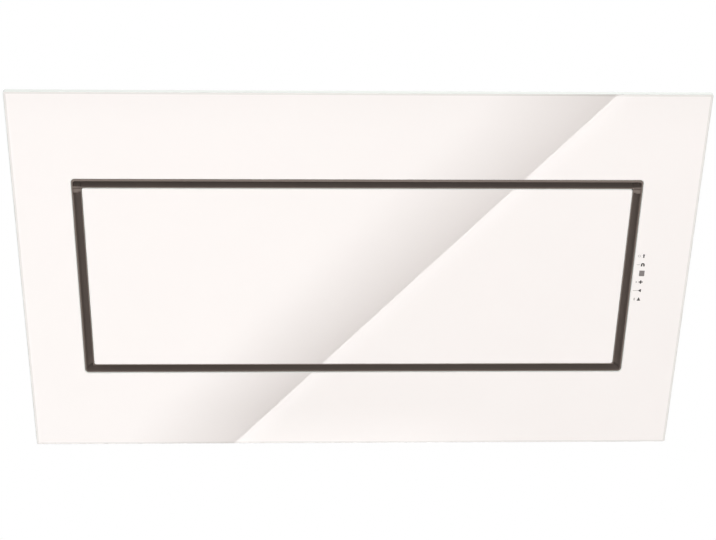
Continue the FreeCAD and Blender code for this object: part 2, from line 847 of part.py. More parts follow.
def casing_side(side, sign):
    """Wedge-shaped side sheet with a folded flange against the carrier frame."""
    sheet = new_body(f"casing_side_{side}")
    wedge = [
        ("-casing_sheet", "casing_low"),
        ("-casing_sheet", "casing_high"),
        (slope_y("plate_back", "casing_high"), "casing_high"),
        (slope_y("plate_back", "casing_low"), "casing_low"),
    ]
    holes = [circle(y, z, "screw_radius + fit_gap") for y, z in side_screw_places()]
    start = "casing_inner" if sign == "1" else "-casing_half"
    slab(sheet, "YZ_Plane", [wedge] + holes, start, "casing_sheet")
    low = slope_v("plate_back + casing_sheet", "casing_low")
    high = slope_v("plate_back", "casing_high")
    flange = rectangle(f"{sign}*casing_inner", f"{sign}*(casing_half + casing_flange)", low, high)
    slab(sheet, "XY_Plane", [flange], "plate_back", "casing_sheet", leaning=True)


def side_screw_places():
    """Screws along the upper and rear edges of a side sheet, into the folded edges behind it."""
    edge = "casing_flange/2 + casing_sheet"
    high = f"casing_high - ({edge})"
    return [
        (f"-({edge}) - 2*casing_flange", high),
        (f"{slope_y('partition_back', high)} + 3*casing_flange", high),
        (f"-({edge})", "casing_high - 5*casing_flange"),
        (f"-({edge})", "floor_high + 3*casing_flange"),
    ]


def corner_angle(side, sign):
    """Folded angle inside a casing corner that the rear side screws bite into."""
    angle = bare_body(f"corner_angle_{side}")
    outside = f"{sign}*casing_inner"
    inside = f"{sign}*(casing_inner - casing_sheet)"
    wing = f"{sign}*(casing_inner - casing_flange)"
    section = [
        (outside, "-casing_sheet"),
        (wing, "-casing_sheet"),
        (wing, "-2*casing_sheet"),
        (inside, "-2*casing_sheet"),
        (inside, "-(casing_sheet + casing_flange)"),
        (outside, "-(casing_sheet + casing_flange)"),
    ]
    height = "casing_high - floor_high - 2*casing_sheet - casing_flange"
    slab(angle, "XY_Plane", [section], "-(casing_high - casing_sheet - casing_flange)", height)
    holes = [circle(y, z, "screw_radius") for y, z in side_screw_places()[2:]]
    start = "casing_inner - 2*casing_sheet" if sign == "1" else "-casing_inner - casing_sheet"
    cut(angle, "YZ_Plane", holes, start, "3*casing_sheet")
    return angle


def casing_top():
    """Top sheet with folded side edges, the duct hole and the gland hole."""
    sheet = new_body("casing_top")
    front = slope_y("plate_back", "casing_high - casing_sheet")
    edge = rectangle("-casing_inner", "casing_inner", front, "-casing_sheet")
    holes = [circle("0", "collar_y", "collar_radius + fit_gap")]
    holes.append(circle("gland_x", "-gland_wall_gap", "gland_stub + fit_gap"))
    holes += [circle(x, y, "screw_radius") for x, y in collar_screw_places()]
    slab(sheet, "XY_Plane", [edge] + holes, "-casing_high", "casing_sheet")
    fold_front = slope_y("partition_back", "casing_high - casing_sheet - casing_flange")
    for sign in ("-1", "1"):
        low = "casing_inner - casing_sheet" if sign == "1" else "-casing_inner"
        fold = [
            ("-casing_sheet", "casing_high"),
            (fold_front, "casing_high"),
            (fold_front, "casing_high - casing_sheet - casing_flange"),
            ("-casing_sheet", "casing_high - casing_sheet - casing_flange"),
        ]
        bites = [circle(y, z, "screw_radius") for y, z in side_screw_places()[:2]]
        slab(sheet, "YZ_Plane", [fold] + bites, low, "casing_sheet")


def casing_bottom():
    sheet = new_body("casing_bottom")
    front = slope_y("plate_back", "casing_low")
    edge = rectangle("-casing_inner", "casing_inner", front, "-casing_sheet")
    holes = [circle(f"{sign}*lamp_x", "lamp_y", "lamp_radius + fit_gap") for sign in ("-1", "1")]
    slab(sheet, "XY_Plane", [edge] + holes, "-(casing_low + casing_sheet)", "casing_sheet")


def chamber_floor():
    """Level sheet that closes the suction chamber under the filters."""
    sheet = new_body("chamber_floor")
    front = slope_y("liner_depth", "floor_high")
    slab(sheet, "XY_Plane", [rectangle("-casing_inner", "casing_inner", front, "-casing_sheet")],
         "-floor_high", "casing_sheet")


def screw(name, x, y, z, turn="0", axis="1; 0; 0"):
    """A pan-head screw whose head stands on the point and whose shank runs down from it."""
    head = rod(f"{name}_head", "screw_head", "screw_head_height")
    shank = rod(f"{name}_shank", "screw_radius - running_gap", "screw_length", z="-screw_length")
    whole = joined(name, [head, shank])
    return place(whole, x, y, z, turn, axis)


def casing_screws():
    made = []
    for side, sign in SIDES:
        for i, (y, z) in enumerate(side_screw_places()):
            x = f"{sign}*casing_half"
            made.append(screw(f"casing_screw_{side}_{i}", x, y, z, f"{sign}*90", "0; 1; 0"))
    group("casing_screws", made)


# Duct outlet


def collar_screw_places():
    """Four screws on the diagonals of the collar's flange."""
    reach = "(collar_radius + collar_flange/2)*sqrt(0.5)"
    return [(f"{sx}*{reach}", f"collar_y + {sy}*{reach}") for sx in ("-1", "1") for sy in ("-1", "1")]


def outlet_collar():
    """Round spigot for the duct, with a flange on the casing and bores for the flap pin."""
    collar = new_body("outlet_collar")
    wall = circle("0", "collar_y", "collar_radius")
    bore = circle("0", "collar_y", "collar_inner")
    rim = circle("0", "collar_y", "collar_radius + collar_flange")
    slab(collar, "XY_Plane", [wall, bore], "-(casing_high + collar_height)", "collar_height + collar_drop")
    holes = [circle(x, y, "screw_radius + fit_gap") for x, y in collar_screw_places()]
    slab(collar, "XY_Plane", [rim, bore] + holes, "-(casing_high + collar_flange_height)",
         "collar_flange_height")
    half = "(collar_radius - collar_wall/2)"
    for sign in ("-1", "1"):
        for side in ("-1", "1"):
            near = f"{side}*stop_length"
            far = f"{side}*2*stop_length"
            edge = f"collar_y + {sign}*(flap_radius - stop_length)"
            lug = rectangle(near, far, edge, f"collar_y + {sign}*{half}")
            slab(collar, "XY_Plane", [lug], "-(flap_z - flap_sheet/2 - fit_gap)", "2*flap_sheet")
    pin_hole = circle("collar_y", "flap_z", "flap_pin_radius + running_gap/2")
    cut(collar, "YZ_Plane", [pin_hole], "-collar_radius - sheet", "2*(collar_radius + sheet)")


def flap_pin():
    reach = "collar_radius - collar_wall/4"
    piece(rod("flap_pin", "flap_pin_radius", f"2*({reach})", f"-({reach})", "collar_y", "flap_z", "x"),
          "flap_pin")


def outlet_flap(label, sign, barrels):
    """Half-round non-return flap that lifts on the pin across the collar."""
    flap = new_body(label)
    lift = "-(flap_z + flap_sheet/2)"
    disc = slab(flap, "XY_Plane", [circle("0", "collar_y", "flap_radius")], lift, "flap_sheet")
    disc.Label = f"{label}_disc"
    edge = f"collar_y + {sign}*(flap_barrel + flap_sheet)"
    away = f"collar_y - {sign}*2*flap_radius"
    other_half = rectangle("-2*flap_radius", "2*flap_radius", away, edge)
    cut(flap, "XY_Plane", [other_half], f"{lift} - flap_sheet", "3*flap_sheet")
    for start in barrels:
        ear = rectangle(start, f"{start} + flap_barrel_length", "collar_y", f"{edge} + {sign}*flap_sheet")
        slab(flap, "XY_Plane", [ear], lift, "flap_sheet")
        barrel = circle("collar_y", "flap_z", "flap_barrel")
        slab(flap, "YZ_Plane", [barrel], start, "flap_barrel_length")
    bore = circle("collar_y", "flap_z", "flap_pin_radius + running_gap")
    cut(flap, "YZ_Plane", [bore], "-flap_radius", "2*flap_radius")


def outlet_flaps():
    outlet_flap("flap_rear", "1", ["-flap_barrel_length/2"])
    outlet_flap("flap_front", "-1", ["-(1.5*flap_barrel_length + sheet)", "flap_barrel_length/2 + sheet"])


def collar_screws():
    made = []
    for i, (x, y) in enumerate(collar_screw_places()):
        made.append(screw(f"collar_screw_{i}", x, y, "casing_high + collar_flange_height"))
    group("collar_screws", made)


def cable_gland():
    """Plain gland for the mains lead, with a stub through the casing top and a domed cap."""
    at = ("gland_x", "-gland_wall_gap")
    low = "casing_high - gland_height/2"
    stub = rod("gland_stub_bar", "gland_stub", "gland_height/2", *at, low)
    flange = rod("gland_flange_bar", "gland_flange", "gland_height/4", *at, "casing_high")
    cap = doc.addObject("Part::Cone", "gland_cap")
    bind(cap, "Radius1", "gland_flange - 2*sheet")
    bind(cap, "Radius2", "gland_stub")
    bind(cap, "Height", "gland_height*3/4")
    place(cap, *at, "casing_high + gland_height/4")
    bore = rod("gland_bore_bar", "gland_bore", "2*gland_height", *at, low)
    solid = joined("gland_solid", [stub, flange, cap])
    piece(less("cable_gland", solid, bore), "cable_gland")


# Blower


def volute(grow, top):
    """Face of the scroll outline, grown by a wall, from the tongue round to the outlet.

    Three quarter arcs follow each other tangentially, each larger by one step, and the outlet runs
    straight up between the last arc and the tongue.
    """
    step = value("scroll_step")
    x, z = value("blower_x"), value("blower_z")
    radii = [value("scroll_start") + i * step + grow for i in range(3)]
    centres = [(x, z), (x + step, z), (x + step, z + step)]

    def at(centre, radius, angle):
        turn = math.radians(angle)
        return FreeCAD.Vector(centre[0] + radius * math.cos(turn), 0, centre[1] + radius * math.sin(turn))

    tongue = math.degrees(math.acos(-grow / radii[0]))
    starts = [tongue, 180, 270]
    edges = []
    for centre, radius, start, end in zip(centres, radii, starts, (180, 270, 360)):
        points = [at(centre, radius, angle) for angle in (start, (start + end) / 2, end)]
        edges.append(Part.Arc(*points).toShape())
    first = at(centres[0], radii[0], tongue)
    last = at(centres[2], radii[2], 360)
    corner = FreeCAD.Vector(last.x, 0, top)
    inner = FreeCAD.Vector(first.x, 0, top)
    for begin, end in ((last, corner), (corner, inner), (inner, first)):
        edges.append(Part.makeLine(begin, end))
    return Part.Face(Part.Wire(edges))


def shaped(label, shape, from_wall):
    """A sub-part whose shape is worked out here, moved out from the wall."""
    obj = piece(doc.addObject("Part::Feature", label), label)
    obj.Shape = shape
    obj.Placement = FreeCAD.Placement(FreeCAD.Vector(0, -from_wall, 0), FreeCAD.Rotation())
    return obj


def scroll_housing():
    """Volute wall and back plate of the blower, open to the front and at the outlet."""
    wall, depth, top = value("scroll_wall"), value("scroll_depth"), value("scroll_top")
    out = FreeCAD.Vector(0, -1, 0)
    solid = volute(wall, top).extrude(out * (depth - wall))
    hollow = volute(0, top + wall).extrude(out * depth)
    hollow.translate(out * wall)
    shaped("scroll_housing", solid.cut(hollow), value("scroll_back"))


def scroll_cover():
    """Front plate of the blower with a rolled inlet ring."""
    wall, top = value("scroll_wall"), value("scroll_top")
    eye, lip = value("impeller_eye"), value("inlet_lip")
    out = FreeCAD.Vector(0, -1, 0)
    centre = FreeCAD.Vector(value("blower_x"), 0, value("blower_z"))
    plate = volute(wall, top).extrude(out * wall)
    ring = Part.makeCylinder(eye + wall, lip, centre - out * lip, out)
    hole = Part.makeCylinder(eye, lip + 2 * wall, centre - out * lip, out)
    shaped("scroll_cover", plate.fuse(ring).cut(hole), value("scroll_front") - wall)


def blade_section():
    """Forward-curved blade between the eye and the rim, as a thin four-sided outline."""
    mid = "(impeller_eye + impeller_radius)/2"
    return [
        ("impeller_eye", "0"),
        (mid, "blade_sheet"),
        ("impeller_radius - blade_sheet", "5*blade_sheet"),
        ("impeller_radius - 2*blade_sheet", "6*blade_sheet"),
        (mid, "2*blade_sheet"),
        ("impeller_eye", "blade_sheet"),
    ]


def impeller():
    """Fan wheel: a ring plate and a dome over the motor, curved blades and a front ring."""
    wheel = new_body("impeller")
    dome = circle("0", "0", "dome_radius")
    rim = circle("0", "0", "impeller_radius")
    dome_in = circle("0", "0", "dome_radius - impeller_sheet")
    slab(wheel, "XY_Plane", [rim, dome_in], "0", "impeller_sheet")
    slab(wheel, "XY_Plane", [dome, dome_in], "0", "dome_height")
    press = circle("0", "0", "shaft_radius")
    slab(wheel, "XY_Plane", [dome, press], "dome_height - impeller_sheet", "impeller_sheet")
    boss = circle("0", "0", "2*shaft_radius")
    slab(wheel, "XY_Plane", [boss, press], "dome_height - impeller_sheet", "2*shaft_radius")
    eye = circle("0", "0", "impeller_eye")
    blade = slab(wheel, "XY_Plane", [blade_section()], "impeller_sheet/2", "impeller_length - impeller_sheet")
    doc.recompute()
    pattern = wheel.newObject("PartDesign::PolarPattern", "impeller_blades")
    pattern.Originals = [blade]
    pattern.Axis = (blade.Profile[0], ["N_Axis"])
    pattern.Angle = 360
    bind(pattern, "Occurrences", "blade_count")
    wheel.Tip = pattern
    slab(wheel, "XY_Plane", [rim, eye], "impeller_length - impeller_sheet", "impeller_sheet")
    place(wheel, "blower_x", "-impeller_back", "blower_z", "-90")


def motor():
    """Motor inside the impeller's dome: a can on the scroll's back plate, and what turns in it."""
    x, z = "blower_x", "blower_z"
    back = "scroll_back + scroll_wall"
    seat = (x, f"-({back})", z, "y")
    flange = tube("motor_flange", "motor_radius + 2*motor_sheet", "bearing_radius", "motor_sheet", *seat)
    shell = tube("motor_shell", "motor_radius", "motor_radius - motor_sheet", "motor_length", *seat)
    end = f"{back} + motor_length"
    cap = tube("motor_cap", "motor_radius", "bearing_radius", "motor_sheet", x, f"-({end})", z, "y")
    piece(joined("motor_can", [flange, shell, cap]), "motor_can")
    inset = f"{back} + bearing_width + motor_sheet"
    stack = "motor_length - 2*bearing_width - 2*motor_sheet"
    piece(tube("motor_stator", "motor_radius - motor_sheet", "stator_bore", stack, x, f"-({inset})", z, "y"),
          "motor_stator")
    core = rod("motor_core", "stator_bore - rotor_gap", stack, x, f"-({inset})", z, "y")
    axle_hole = rod("motor_core_bore", "shaft_radius", stack, x, f"-({inset})", z, "y")
    piece(less("motor_rotor", core, axle_hole), "motor_rotor")
    tip = "impeller_back + dome_height + shaft_radius"
    piece(rod("motor_shaft", "shaft_radius", f"{tip} - ({back})", x, f"-({back})", z, "y"), "motor_shaft")
    rings = [
        tube(f"bearing_{name}", "bearing_radius", "shaft_radius + running_gap", "bearing_width", x,
             f"-({start})", z, "y")
        for name, start in (("rear", back), ("front", f"{end} + motor_sheet - bearing_width"))
    ]
    group("motor_bearings", rings)


def bush_places():
    """Four rubber bushes between the casing back and the blower."""
    reach = "scroll_start - 2*bush_radius"
    return [
        (f"blower_x + {sx}*({reach})*sqrt(0.5)", f"blower_z + {sz}*({reach})*sqrt(0.5)")
        for sx in ("-1", "1")
        for sz in ("-1", "1")
    ]


def blower_bushes():
    group(
        "blower_bushes",
        [
            rod(f"bush_{i}", "bush_radius", "bush_length", x, "-casing_sheet", z, "y")
            for i, (x, z) in enumerate(bush_places())
        ],
    )


def outlet_plenum():
    """Sheet box that leads the blower's outlet to the round collar."""
    box = new_body("outlet_plenum")
    rear = "-2*casing_sheet"
    front = "collar_y - plenum_half"
    edge = rectangle("-plenum_half", "plenum_half", front, rear)
    inside = rectangle(
        "-plenum_half + casing_sheet", "plenum_half - casing_sheet", f"{front} + casing_sheet",
        f"{rear} - casing_sheet"
    )
    mouth = rectangle(
        "-outlet_width/2", "outlet_width/2", "-(scroll_front - scroll_wall)", "-(scroll_back + scroll_wall)"
    )
    slab(box, "XY_Plane", [edge, mouth], "-(scroll_top + casing_sheet)", "casing_sheet")
    slab(box, "XY_Plane", [edge, inside], "-(casing_high - casing_sheet)", "plenum_height")


# Electrics


def control_unit():
    """Electronics box on the casing back, with its board and lid."""
    right = "casing_inner - box_side_gap"
    left = f"{right} - box_width"
    low, high = "blower_z - box_height/2", "blower_z + box_height/2"
    shell = new_body("control_box")
    slab(shell, "XZ_Plane", [rectangle(left, right, low, high)], "casing_sheet", "box_depth - box_wall")
    cavity = rectangle(f"{left} + box_wall", f"{right} - box_wall", f"{low} + box_wall", f"{high} - box_wall")
    cut(shell, "XZ_Plane", [cavity], "casing_sheet + box_wall", "box_depth")
    lid = new_body("control_box_lid")
    lid_back = "casing_sheet + box_depth - box_wall"
    slab(lid, "XZ_Plane", [rectangle(left, right, low, high)], lid_back, "box_wall")
    board = new_body("control_board")
    inset = "box_wall + fit_gap"
    edge = rectangle(f"{left} + {inset}", f"{right} - ({inset})", f"{low} + {inset}", f"{high} - ({inset})")
    slab(board, "XZ_Plane", [edge], "casing_sheet + box_wall", "board_sheet")
    relay = rectangle(
        f"{left} + 4*box_wall", f"{left} + 16*box_wall", f"{low} + 4*box_wall", f"{low} + 12*box_wall"
    )
    slab(board, "XZ_Plane", [relay], "casing_sheet + box_wall", "box_depth/2")


def capacitor():
    x = "-(casing_inner - box_side_gap)"
    y = "-(casing_sheet + capacitor_radius)"
    can = rod("capacitor", "capacitor_radius", "capacitor_length", x, y, "blower_z", "x")
    piece(can, "capacitor")


def lamp_driver():
    box = block(
        "lamp_driver",
        ("-driver_width/2", "driver_width/2"),
        ("-(casing_sheet + driver_depth)", "-casing_sheet"),
        ("casing_low + driver_height", "casing_low + 2*driver_height"),
    )
    piece(box, "lamp_driver")


def touch_unit():
    """Touch keys behind the fixed glass: a housing pressed to the glass, with its board."""
    left, right = "touch_side", "touch_side + touch_width"
    low, high = "touch_centre - touch_height/2", "touch_centre + touch_height/2"
    shell = new_body("touch_housing")
    slab(shell, "XY_Plane", [rectangle(left, right, low, high)], "glass_thickness", "touch_depth")
    cavity = rectangle(
        f"{left} + touch_wall", f"{right} - touch_wall", f"{low} + touch_wall", f"{high} - touch_wall"
    )
    cut(shell, "XY_Plane", [cavity], "glass_thickness - touch_wall", "touch_depth")
    lay_on_panel(shell)
    board = new_body("touch_board")
    inset = "touch_wall + fit_gap"
    edge = rectangle(f"{left} + {inset}", f"{right} - ({inset})", f"{low} + {inset}", f"{high} - ({inset})")
    slab(board, "XY_Plane", [edge], "glass_thickness + touch_wall", "board_sheet")
    socket = rectangle(f"{left} + 4*touch_wall", f"{right} - 4*touch_wall", f"{low} + 4*touch_wall",
                       f"{low} + 8*touch_wall")
    slab(board, "XY_Plane", [socket], "glass_thickness + touch_wall",
         "touch_depth - 2*touch_wall")
    lay_on_panel(board)


# Lamps


def lamp_body(side, sign):
    """Lamp cup that sits in the casing bottom with a rim under it."""
    x = f"{sign}*lamp_x"
    cup = bare_body(f"lamp_body_{side}")
    barrel = circle(x, "lamp_y", "lamp_radius")
    well = circle(x, "lamp_y", "lamp_radius - lamp_wall")
    rim = circle(x, "lamp_y", "lamp_radius + lamp_flange")
    top = "-(casing_low + lamp_height)"
    slab(cup, "XY_Plane", [barrel], top, "lamp_wall")
    slab(cup, "XY_Plane", [barrel, well], top, "lamp_height")
    slab(cup, "XY_Plane", [rim, well], "-casing_low", "sheet")
    return cup


def lamp_lens(side, sign):
    radius = "lamp_radius - lamp_wall - running_gap"
    low = "casing_low - sheet"
    return rod(f"lamp_lens_{side}", radius, "lens_thickness", f"{sign}*lamp_x", "lamp_y", low)


# The whole hood

outer_glass()
slot_trim()
glass_bonding_strips()
carrier_frame()
liner_rails()
mirrored_pair(liner_stile)
filter_partition()
filter_rails()
mirrored_pair(grease_filter)
mirrored_pair(filter_latch)
latch_guides()
door_glass()
door_tray()
door_bonding_strips()
door_ribs()
lay_on_panel(group("hinge_bases", mirrored_pair(hinge_base)))
lay_on_panel(group("hinge_leaves", mirrored_pair(hinge_leaf)))
hinge_pins()
door_catches()
casing_back()
mirrored_pair(casing_side)
group("corner_angles", mirrored_pair(corner_angle))
casing_top()
casing_bottom()
chamber_floor()
casing_screws()
outlet_collar()
flap_pin()
outlet_flaps()
collar_screws()
cable_gland()
scroll_housing()
scroll_cover()
impeller()
motor()
blower_bushes()
outlet_plenum()
control_unit()
capacitor()
lamp_driver()
touch_unit()
group("lamp_bodies", mirrored_pair(lamp_body))
group("lamp_lenses", mirrored_pair(lamp_lens))
doc.recompute()

# Checks and export
failed = [o.Label for o in doc.Objects if "Invalid" in o.State or "Error" in o.State]
if failed:
    raise RuntimeError(f"features that did not build: {failed}")
for part in PIECES:
    if part.Shape.isNull() or not part.Shape.isValid() or not part.Shape.Solids:
        raise RuntimeError(f"{part.Label} has no valid solid")
os.makedirs("parts", exist_ok=True)
for part in PIECES:
    part.Shape.exportStep(os.path.join("parts", f"{part.Label}.step"))
print(len(PIECES), "sub-parts,", sum(len(part.Shape.Solids) for part in PIECES), "solids")
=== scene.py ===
"""Looks of a wall range hood with a leaning glass front and a hinged glass door in it.

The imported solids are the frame. This file gives them their finishes, adds the pieces that are too fine for
the solids (key marks, air guides, filter lattice, pole plates, screw drives, cable gland, lens rings) and
sets the stage.
"""

import math
from functools import partial

import bmesh
import bpy
from bpy.props import FloatProperty, FloatVectorProperty, IntProperty, PointerProperty
from mathutils import Matrix, Vector


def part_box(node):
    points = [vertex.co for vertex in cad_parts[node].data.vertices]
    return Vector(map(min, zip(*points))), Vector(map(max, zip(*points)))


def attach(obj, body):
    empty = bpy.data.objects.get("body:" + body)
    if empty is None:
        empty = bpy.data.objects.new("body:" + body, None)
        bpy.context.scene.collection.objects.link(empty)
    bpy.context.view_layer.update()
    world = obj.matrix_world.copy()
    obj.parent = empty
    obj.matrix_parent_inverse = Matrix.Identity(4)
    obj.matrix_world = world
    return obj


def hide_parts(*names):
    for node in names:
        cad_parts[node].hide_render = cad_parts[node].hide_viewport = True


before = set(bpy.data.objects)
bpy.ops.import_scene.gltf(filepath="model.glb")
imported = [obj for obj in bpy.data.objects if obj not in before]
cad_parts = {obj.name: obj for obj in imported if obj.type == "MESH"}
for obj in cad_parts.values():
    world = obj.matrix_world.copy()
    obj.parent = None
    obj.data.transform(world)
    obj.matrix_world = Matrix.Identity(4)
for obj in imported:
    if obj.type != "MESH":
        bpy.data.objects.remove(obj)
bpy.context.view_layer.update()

bl_info = {
    "name": "Wall Range Hood",
    "version": (1, 0, 0),
    "blender": (4, 5, 0),
    "location": "3D View > Sidebar > Hood",
    "description": "Finishes, fine pieces and stage of a wall range hood with a glass front",
    "category": "Object",
}

MM = 0.001
WHITE = (1.0, 1.0, 1.0, 1.0)

# The glass front: its lower front edge, its lean from the upright, and the directions along it
PANEL_FOOT = Vector((0.0, -0.095, -0.2300056))
PANEL_LEAN = math.radians(30)
PANEL_ACROSS = Vector((1.0, 0.0, 0.0))
PANEL_UP = Vector((0.0, -math.sin(PANEL_LEAN), math.cos(PANEL_LEAN)))
PANEL_OUT = Vector((0.0, -math.cos(PANEL_LEAN), -math.sin(PANEL_LEAN)))


def on_panel(across, up, out=0.0):
    """Point on the glass front: metres from its middle line, up its slope, and out of its face."""
    return PANEL_FOOT + PANEL_ACROSS * across + PANEL_UP * up + PANEL_OUT * out


def panel_span(node):
    """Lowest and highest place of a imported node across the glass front, up its slope and behind its face."""
    points = [vert.co - PANEL_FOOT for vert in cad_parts[node].data.vertices]
    ways = (PANEL_ACROSS, PANEL_UP, -PANEL_OUT)
    return [(min(p.dot(way) for p in points), max(p.dot(way) for p in points)) for way in ways]


def linear(hex_colour):
    """sRGB hex value as linear red, green and blue."""
    parts = [int(hex_colour[i : i + 2], 16) / 255 for i in (1, 3, 5)]
    return [p / 12.92 if p <= 0.04045 else ((p + 0.055) / 1.055) ** 2.4 for p in parts]


def rgba(colour):
    return (*colour, 1.0)


# Sizes, colours and stage that a user would change


def colour_of(name, description, hex_colour):
    return FloatVectorProperty(
        name=name, description=description, subtype="COLOR", size=3, min=0, max=1, default=linear(hex_colour)
    )


def amount_of(name, description, default, **kind):
    return FloatProperty(name=name, description=description, min=0, default=default, **kind)


def length_of(name, description, millimetres):
    return amount_of(name, description, millimetres * MM, subtype="DISTANCE", unit="LENGTH")


class HoodColours(bpy.types.PropertyGroup):
    """Colours of the hood's finishes."""

    enamel: colour_of("Enamel", "White enamel fired on the back of the glass", "#efe8e5")
    glass_edge: colour_of("Glass edge", "Polished edge faces of the low-iron glass", "#eff3ee")
    glass_border: colour_of("Glass border", "Face of the glass where the enamel stops", "#dcd6d2")
    slot_paint: colour_of("Slot paint", "Powder coat of the intake slot and door pan", "#8c8079")
    stainless: colour_of("Stainless steel", "Brushed sheets of the casing", "#cac8c4")
    zinc: colour_of("Zinc", "Zinc coat of the inner sheets", "#b4b8ba")
    bright_zinc: colour_of("Bright zinc", "Plating of hinges, pins and screws", "#b9bcbc")
    aluminium: colour_of("Aluminium", "Anodised filter frames and lamp cups", "#d6d7d8")
    lattice: colour_of("Lattice", "Bare aluminium of the filter lattice", "#d8dadb")
    black_plastic: colour_of("Black plastic", "Collar, flaps, latches and touch housing", "#1d1d1e")
    grey_plastic: colour_of("Grey plastic", "Gland, impeller and boxes", "#8f9294")
    motor_paint: colour_of("Motor paint", "Lacquer of the motor can", "#2b2d30")
    iron: colour_of("Iron", "Laminated iron of the motor", "#6f6b66")
    rubber: colour_of("Rubber", "Bushes under the blower", "#202021")
    board: colour_of("Board", "Glass epoxy boards", "#2f6b46")
    lens: colour_of("Lens", "Frosted lamp lenses", "#eef0ec")
    foam: colour_of("Foam", "Foam tape behind the glass", "#d8d6d0")
    ink: colour_of("Ink", "Printed key marks", "#3d3837")
    hint: colour_of("Hint", "Pale printed hints beside the keys", "#a39b98")
    display: colour_of("Display", "Smoked display window", "#918a88")
    floor: colour_of("Floor", "Pale studio floor", "#eeedeb")


class HoodSizes(bpy.types.PropertyGroup):
    """Sizes of the fine pieces."""

    bare_border: length_of("Bare border", "Glass left without enamel along its outer edges", 3.4)
    mark_column: length_of("Mark column", "Key marks to the middle line of the glass", 386)
    hint_column: length_of("Hint column", "Pale hints beside the keys to the middle line of the glass", 379.9)
    mark_foot: length_of("Mark foot", "Lowest key mark to the lower edge of the glass", 240.5)
    mark_pitch: length_of("Mark pitch", "Key mark to key mark", 13.52)
    mark_size: length_of("Mark size", "Height of a key mark", 5.2)
    ink_thickness: length_of("Ink thickness", "How far the marks stand on the glass", 0.08)
    cell_long: length_of("Cell length", "Long way of a lattice cell", 14)
    cell_short: length_of("Cell height", "Short way of a lattice cell", 8)
    strand_width: length_of("Strand width", "Width of a lattice strand", 1.4)
    strand_thickness: length_of("Strand thickness", "Thickness of a lattice strand", 0.6)
    lens_ring: length_of("Lens ring", "Spacing of the rings in a lamp lens", 2)
    guide_reach: length_of("Guide reach", "How far an air guide stands out from the liner", 9.5)
    guide_depth: length_of("Guide depth", "Nose of an air guide behind the face of the glass", 21.5)
    guide_sheet: length_of("Guide sheet", "Thickness of an air guide's sheet", 0.7)
    guide_lip: length_of("Guide lip", "Front edge of an air guide behind the front of the trim", 1.2)
    guide_gap: length_of("Guide gap", "Ends of an air guide to the lower liner and to the catches", 2.6)
    pole_gap: length_of("Pole gap", "Pole plate of a door catch to the door pan", 0.8)
    pole_inset: length_of("Pole inset", "Edges of a pole plate behind the edges of its magnet", 0.5)


class HoodStage(bpy.types.PropertyGroup):
    """Camera, floor and light."""

    camera_place: FloatVectorProperty(
        name="Camera place", description="Where the camera stands", subtype="TRANSLATION", unit="LENGTH",
        default=(-0.0869, -2.4003, 0.0180),
    )
    camera_turn: FloatProperty(
        name="Camera turn", description="Turn of the camera to the right", subtype="ANGLE", unit="ROTATION",
        default=math.radians(2.328),
    )
    camera_lens: amount_of("Camera lens", "Focal length on a 36 mm sensor", 80.95, unit="CAMERA")
    floor_drop: length_of("Floor drop", "Floor under the middle of the casing", 750)
    floor_radius: length_of("Floor radius", "Radius of the floor", 2200)
    floor_sides: IntProperty(
        name="Floor sides", description="Straight runs in the floor's round edge", min=12, default=96
    )
    room_light: amount_of("Room light", "Strength of the even light from all sides", 0.34)
    key_light: amount_of("Key light", "Power of the large soft lamp in front", 32.5, unit="POWER")
    top_light: amount_of("Top light", "Power of the soft lamp above", 42, unit="POWER")
    card_light: amount_of("Card light", "Brightness of the card that the glass mirrors", 6.0)


# Materials: each function below gives the Principled sockets of one finish


def add_node(tree, kind, inputs=None, **settings):
    """Adds a shader node, sets it up, fills or links its inputs and returns its outputs."""
    node = tree.nodes.new("ShaderNode" + kind)
    for name, value in settings.items():
        setattr(node, name, value)
    for name, value in (inputs or {}).items():
        if isinstance(value, bpy.types.NodeSocket):
            tree.links.new(value, node.inputs[name])
        else:
            node.inputs[name].default_value = value
    return node.outputs


def empty_tree(block):
    """Clears the nodes of a new material or world and returns the function that adds nodes to it."""
    block.use_nodes = True
    block.node_tree.nodes.clear()
    return partial(add_node, block.node_tree)


def per_mm(size):
    """Pattern scale at which one repeat is that many millimetres long."""
    return 1 / (size * MM)


def patterns(add, place, *rows):
    """Patterns over the object: each row has a kind, the length of a repeat in millimetres and the detail."""
    return [
        add(kind, {"Vector": place, "Scale": per_mm(size), "Detail": detail})[0]
        for kind, size, detail in rows
    ]


def surface(add, colour, tone, gloss, relief, fixed):
    """Sockets of a finish from its colour and from patterns that run from 0 to 1.

    tone is a pattern and the share of the colour that is left where it is strong. gloss is a pattern and the
    roughness at its two ends. relief is a pattern and the strength and height in millimetres of its bump.
    The fixed sockets are the same all over.
    """
    pattern, left = tone
    deep = [part * left for part in colour]
    base = add("Mix", {0: pattern, 6: rgba(colour), 7: rgba(deep)}, data_type="RGBA")[2]
    pattern, low, high = gloss
    rough = add("MapRange", {0: pattern, 3: low, 4: high})[0]
    pattern, strength, height = relief
    bump = add("Bump", {"Height": pattern, "Strength": strength, "Distance": height * MM})[0]
    return {"Base Color": base, "Roughness": rough, "Normal": bump, **fixed}


METAL = {"Metallic": 1.0}


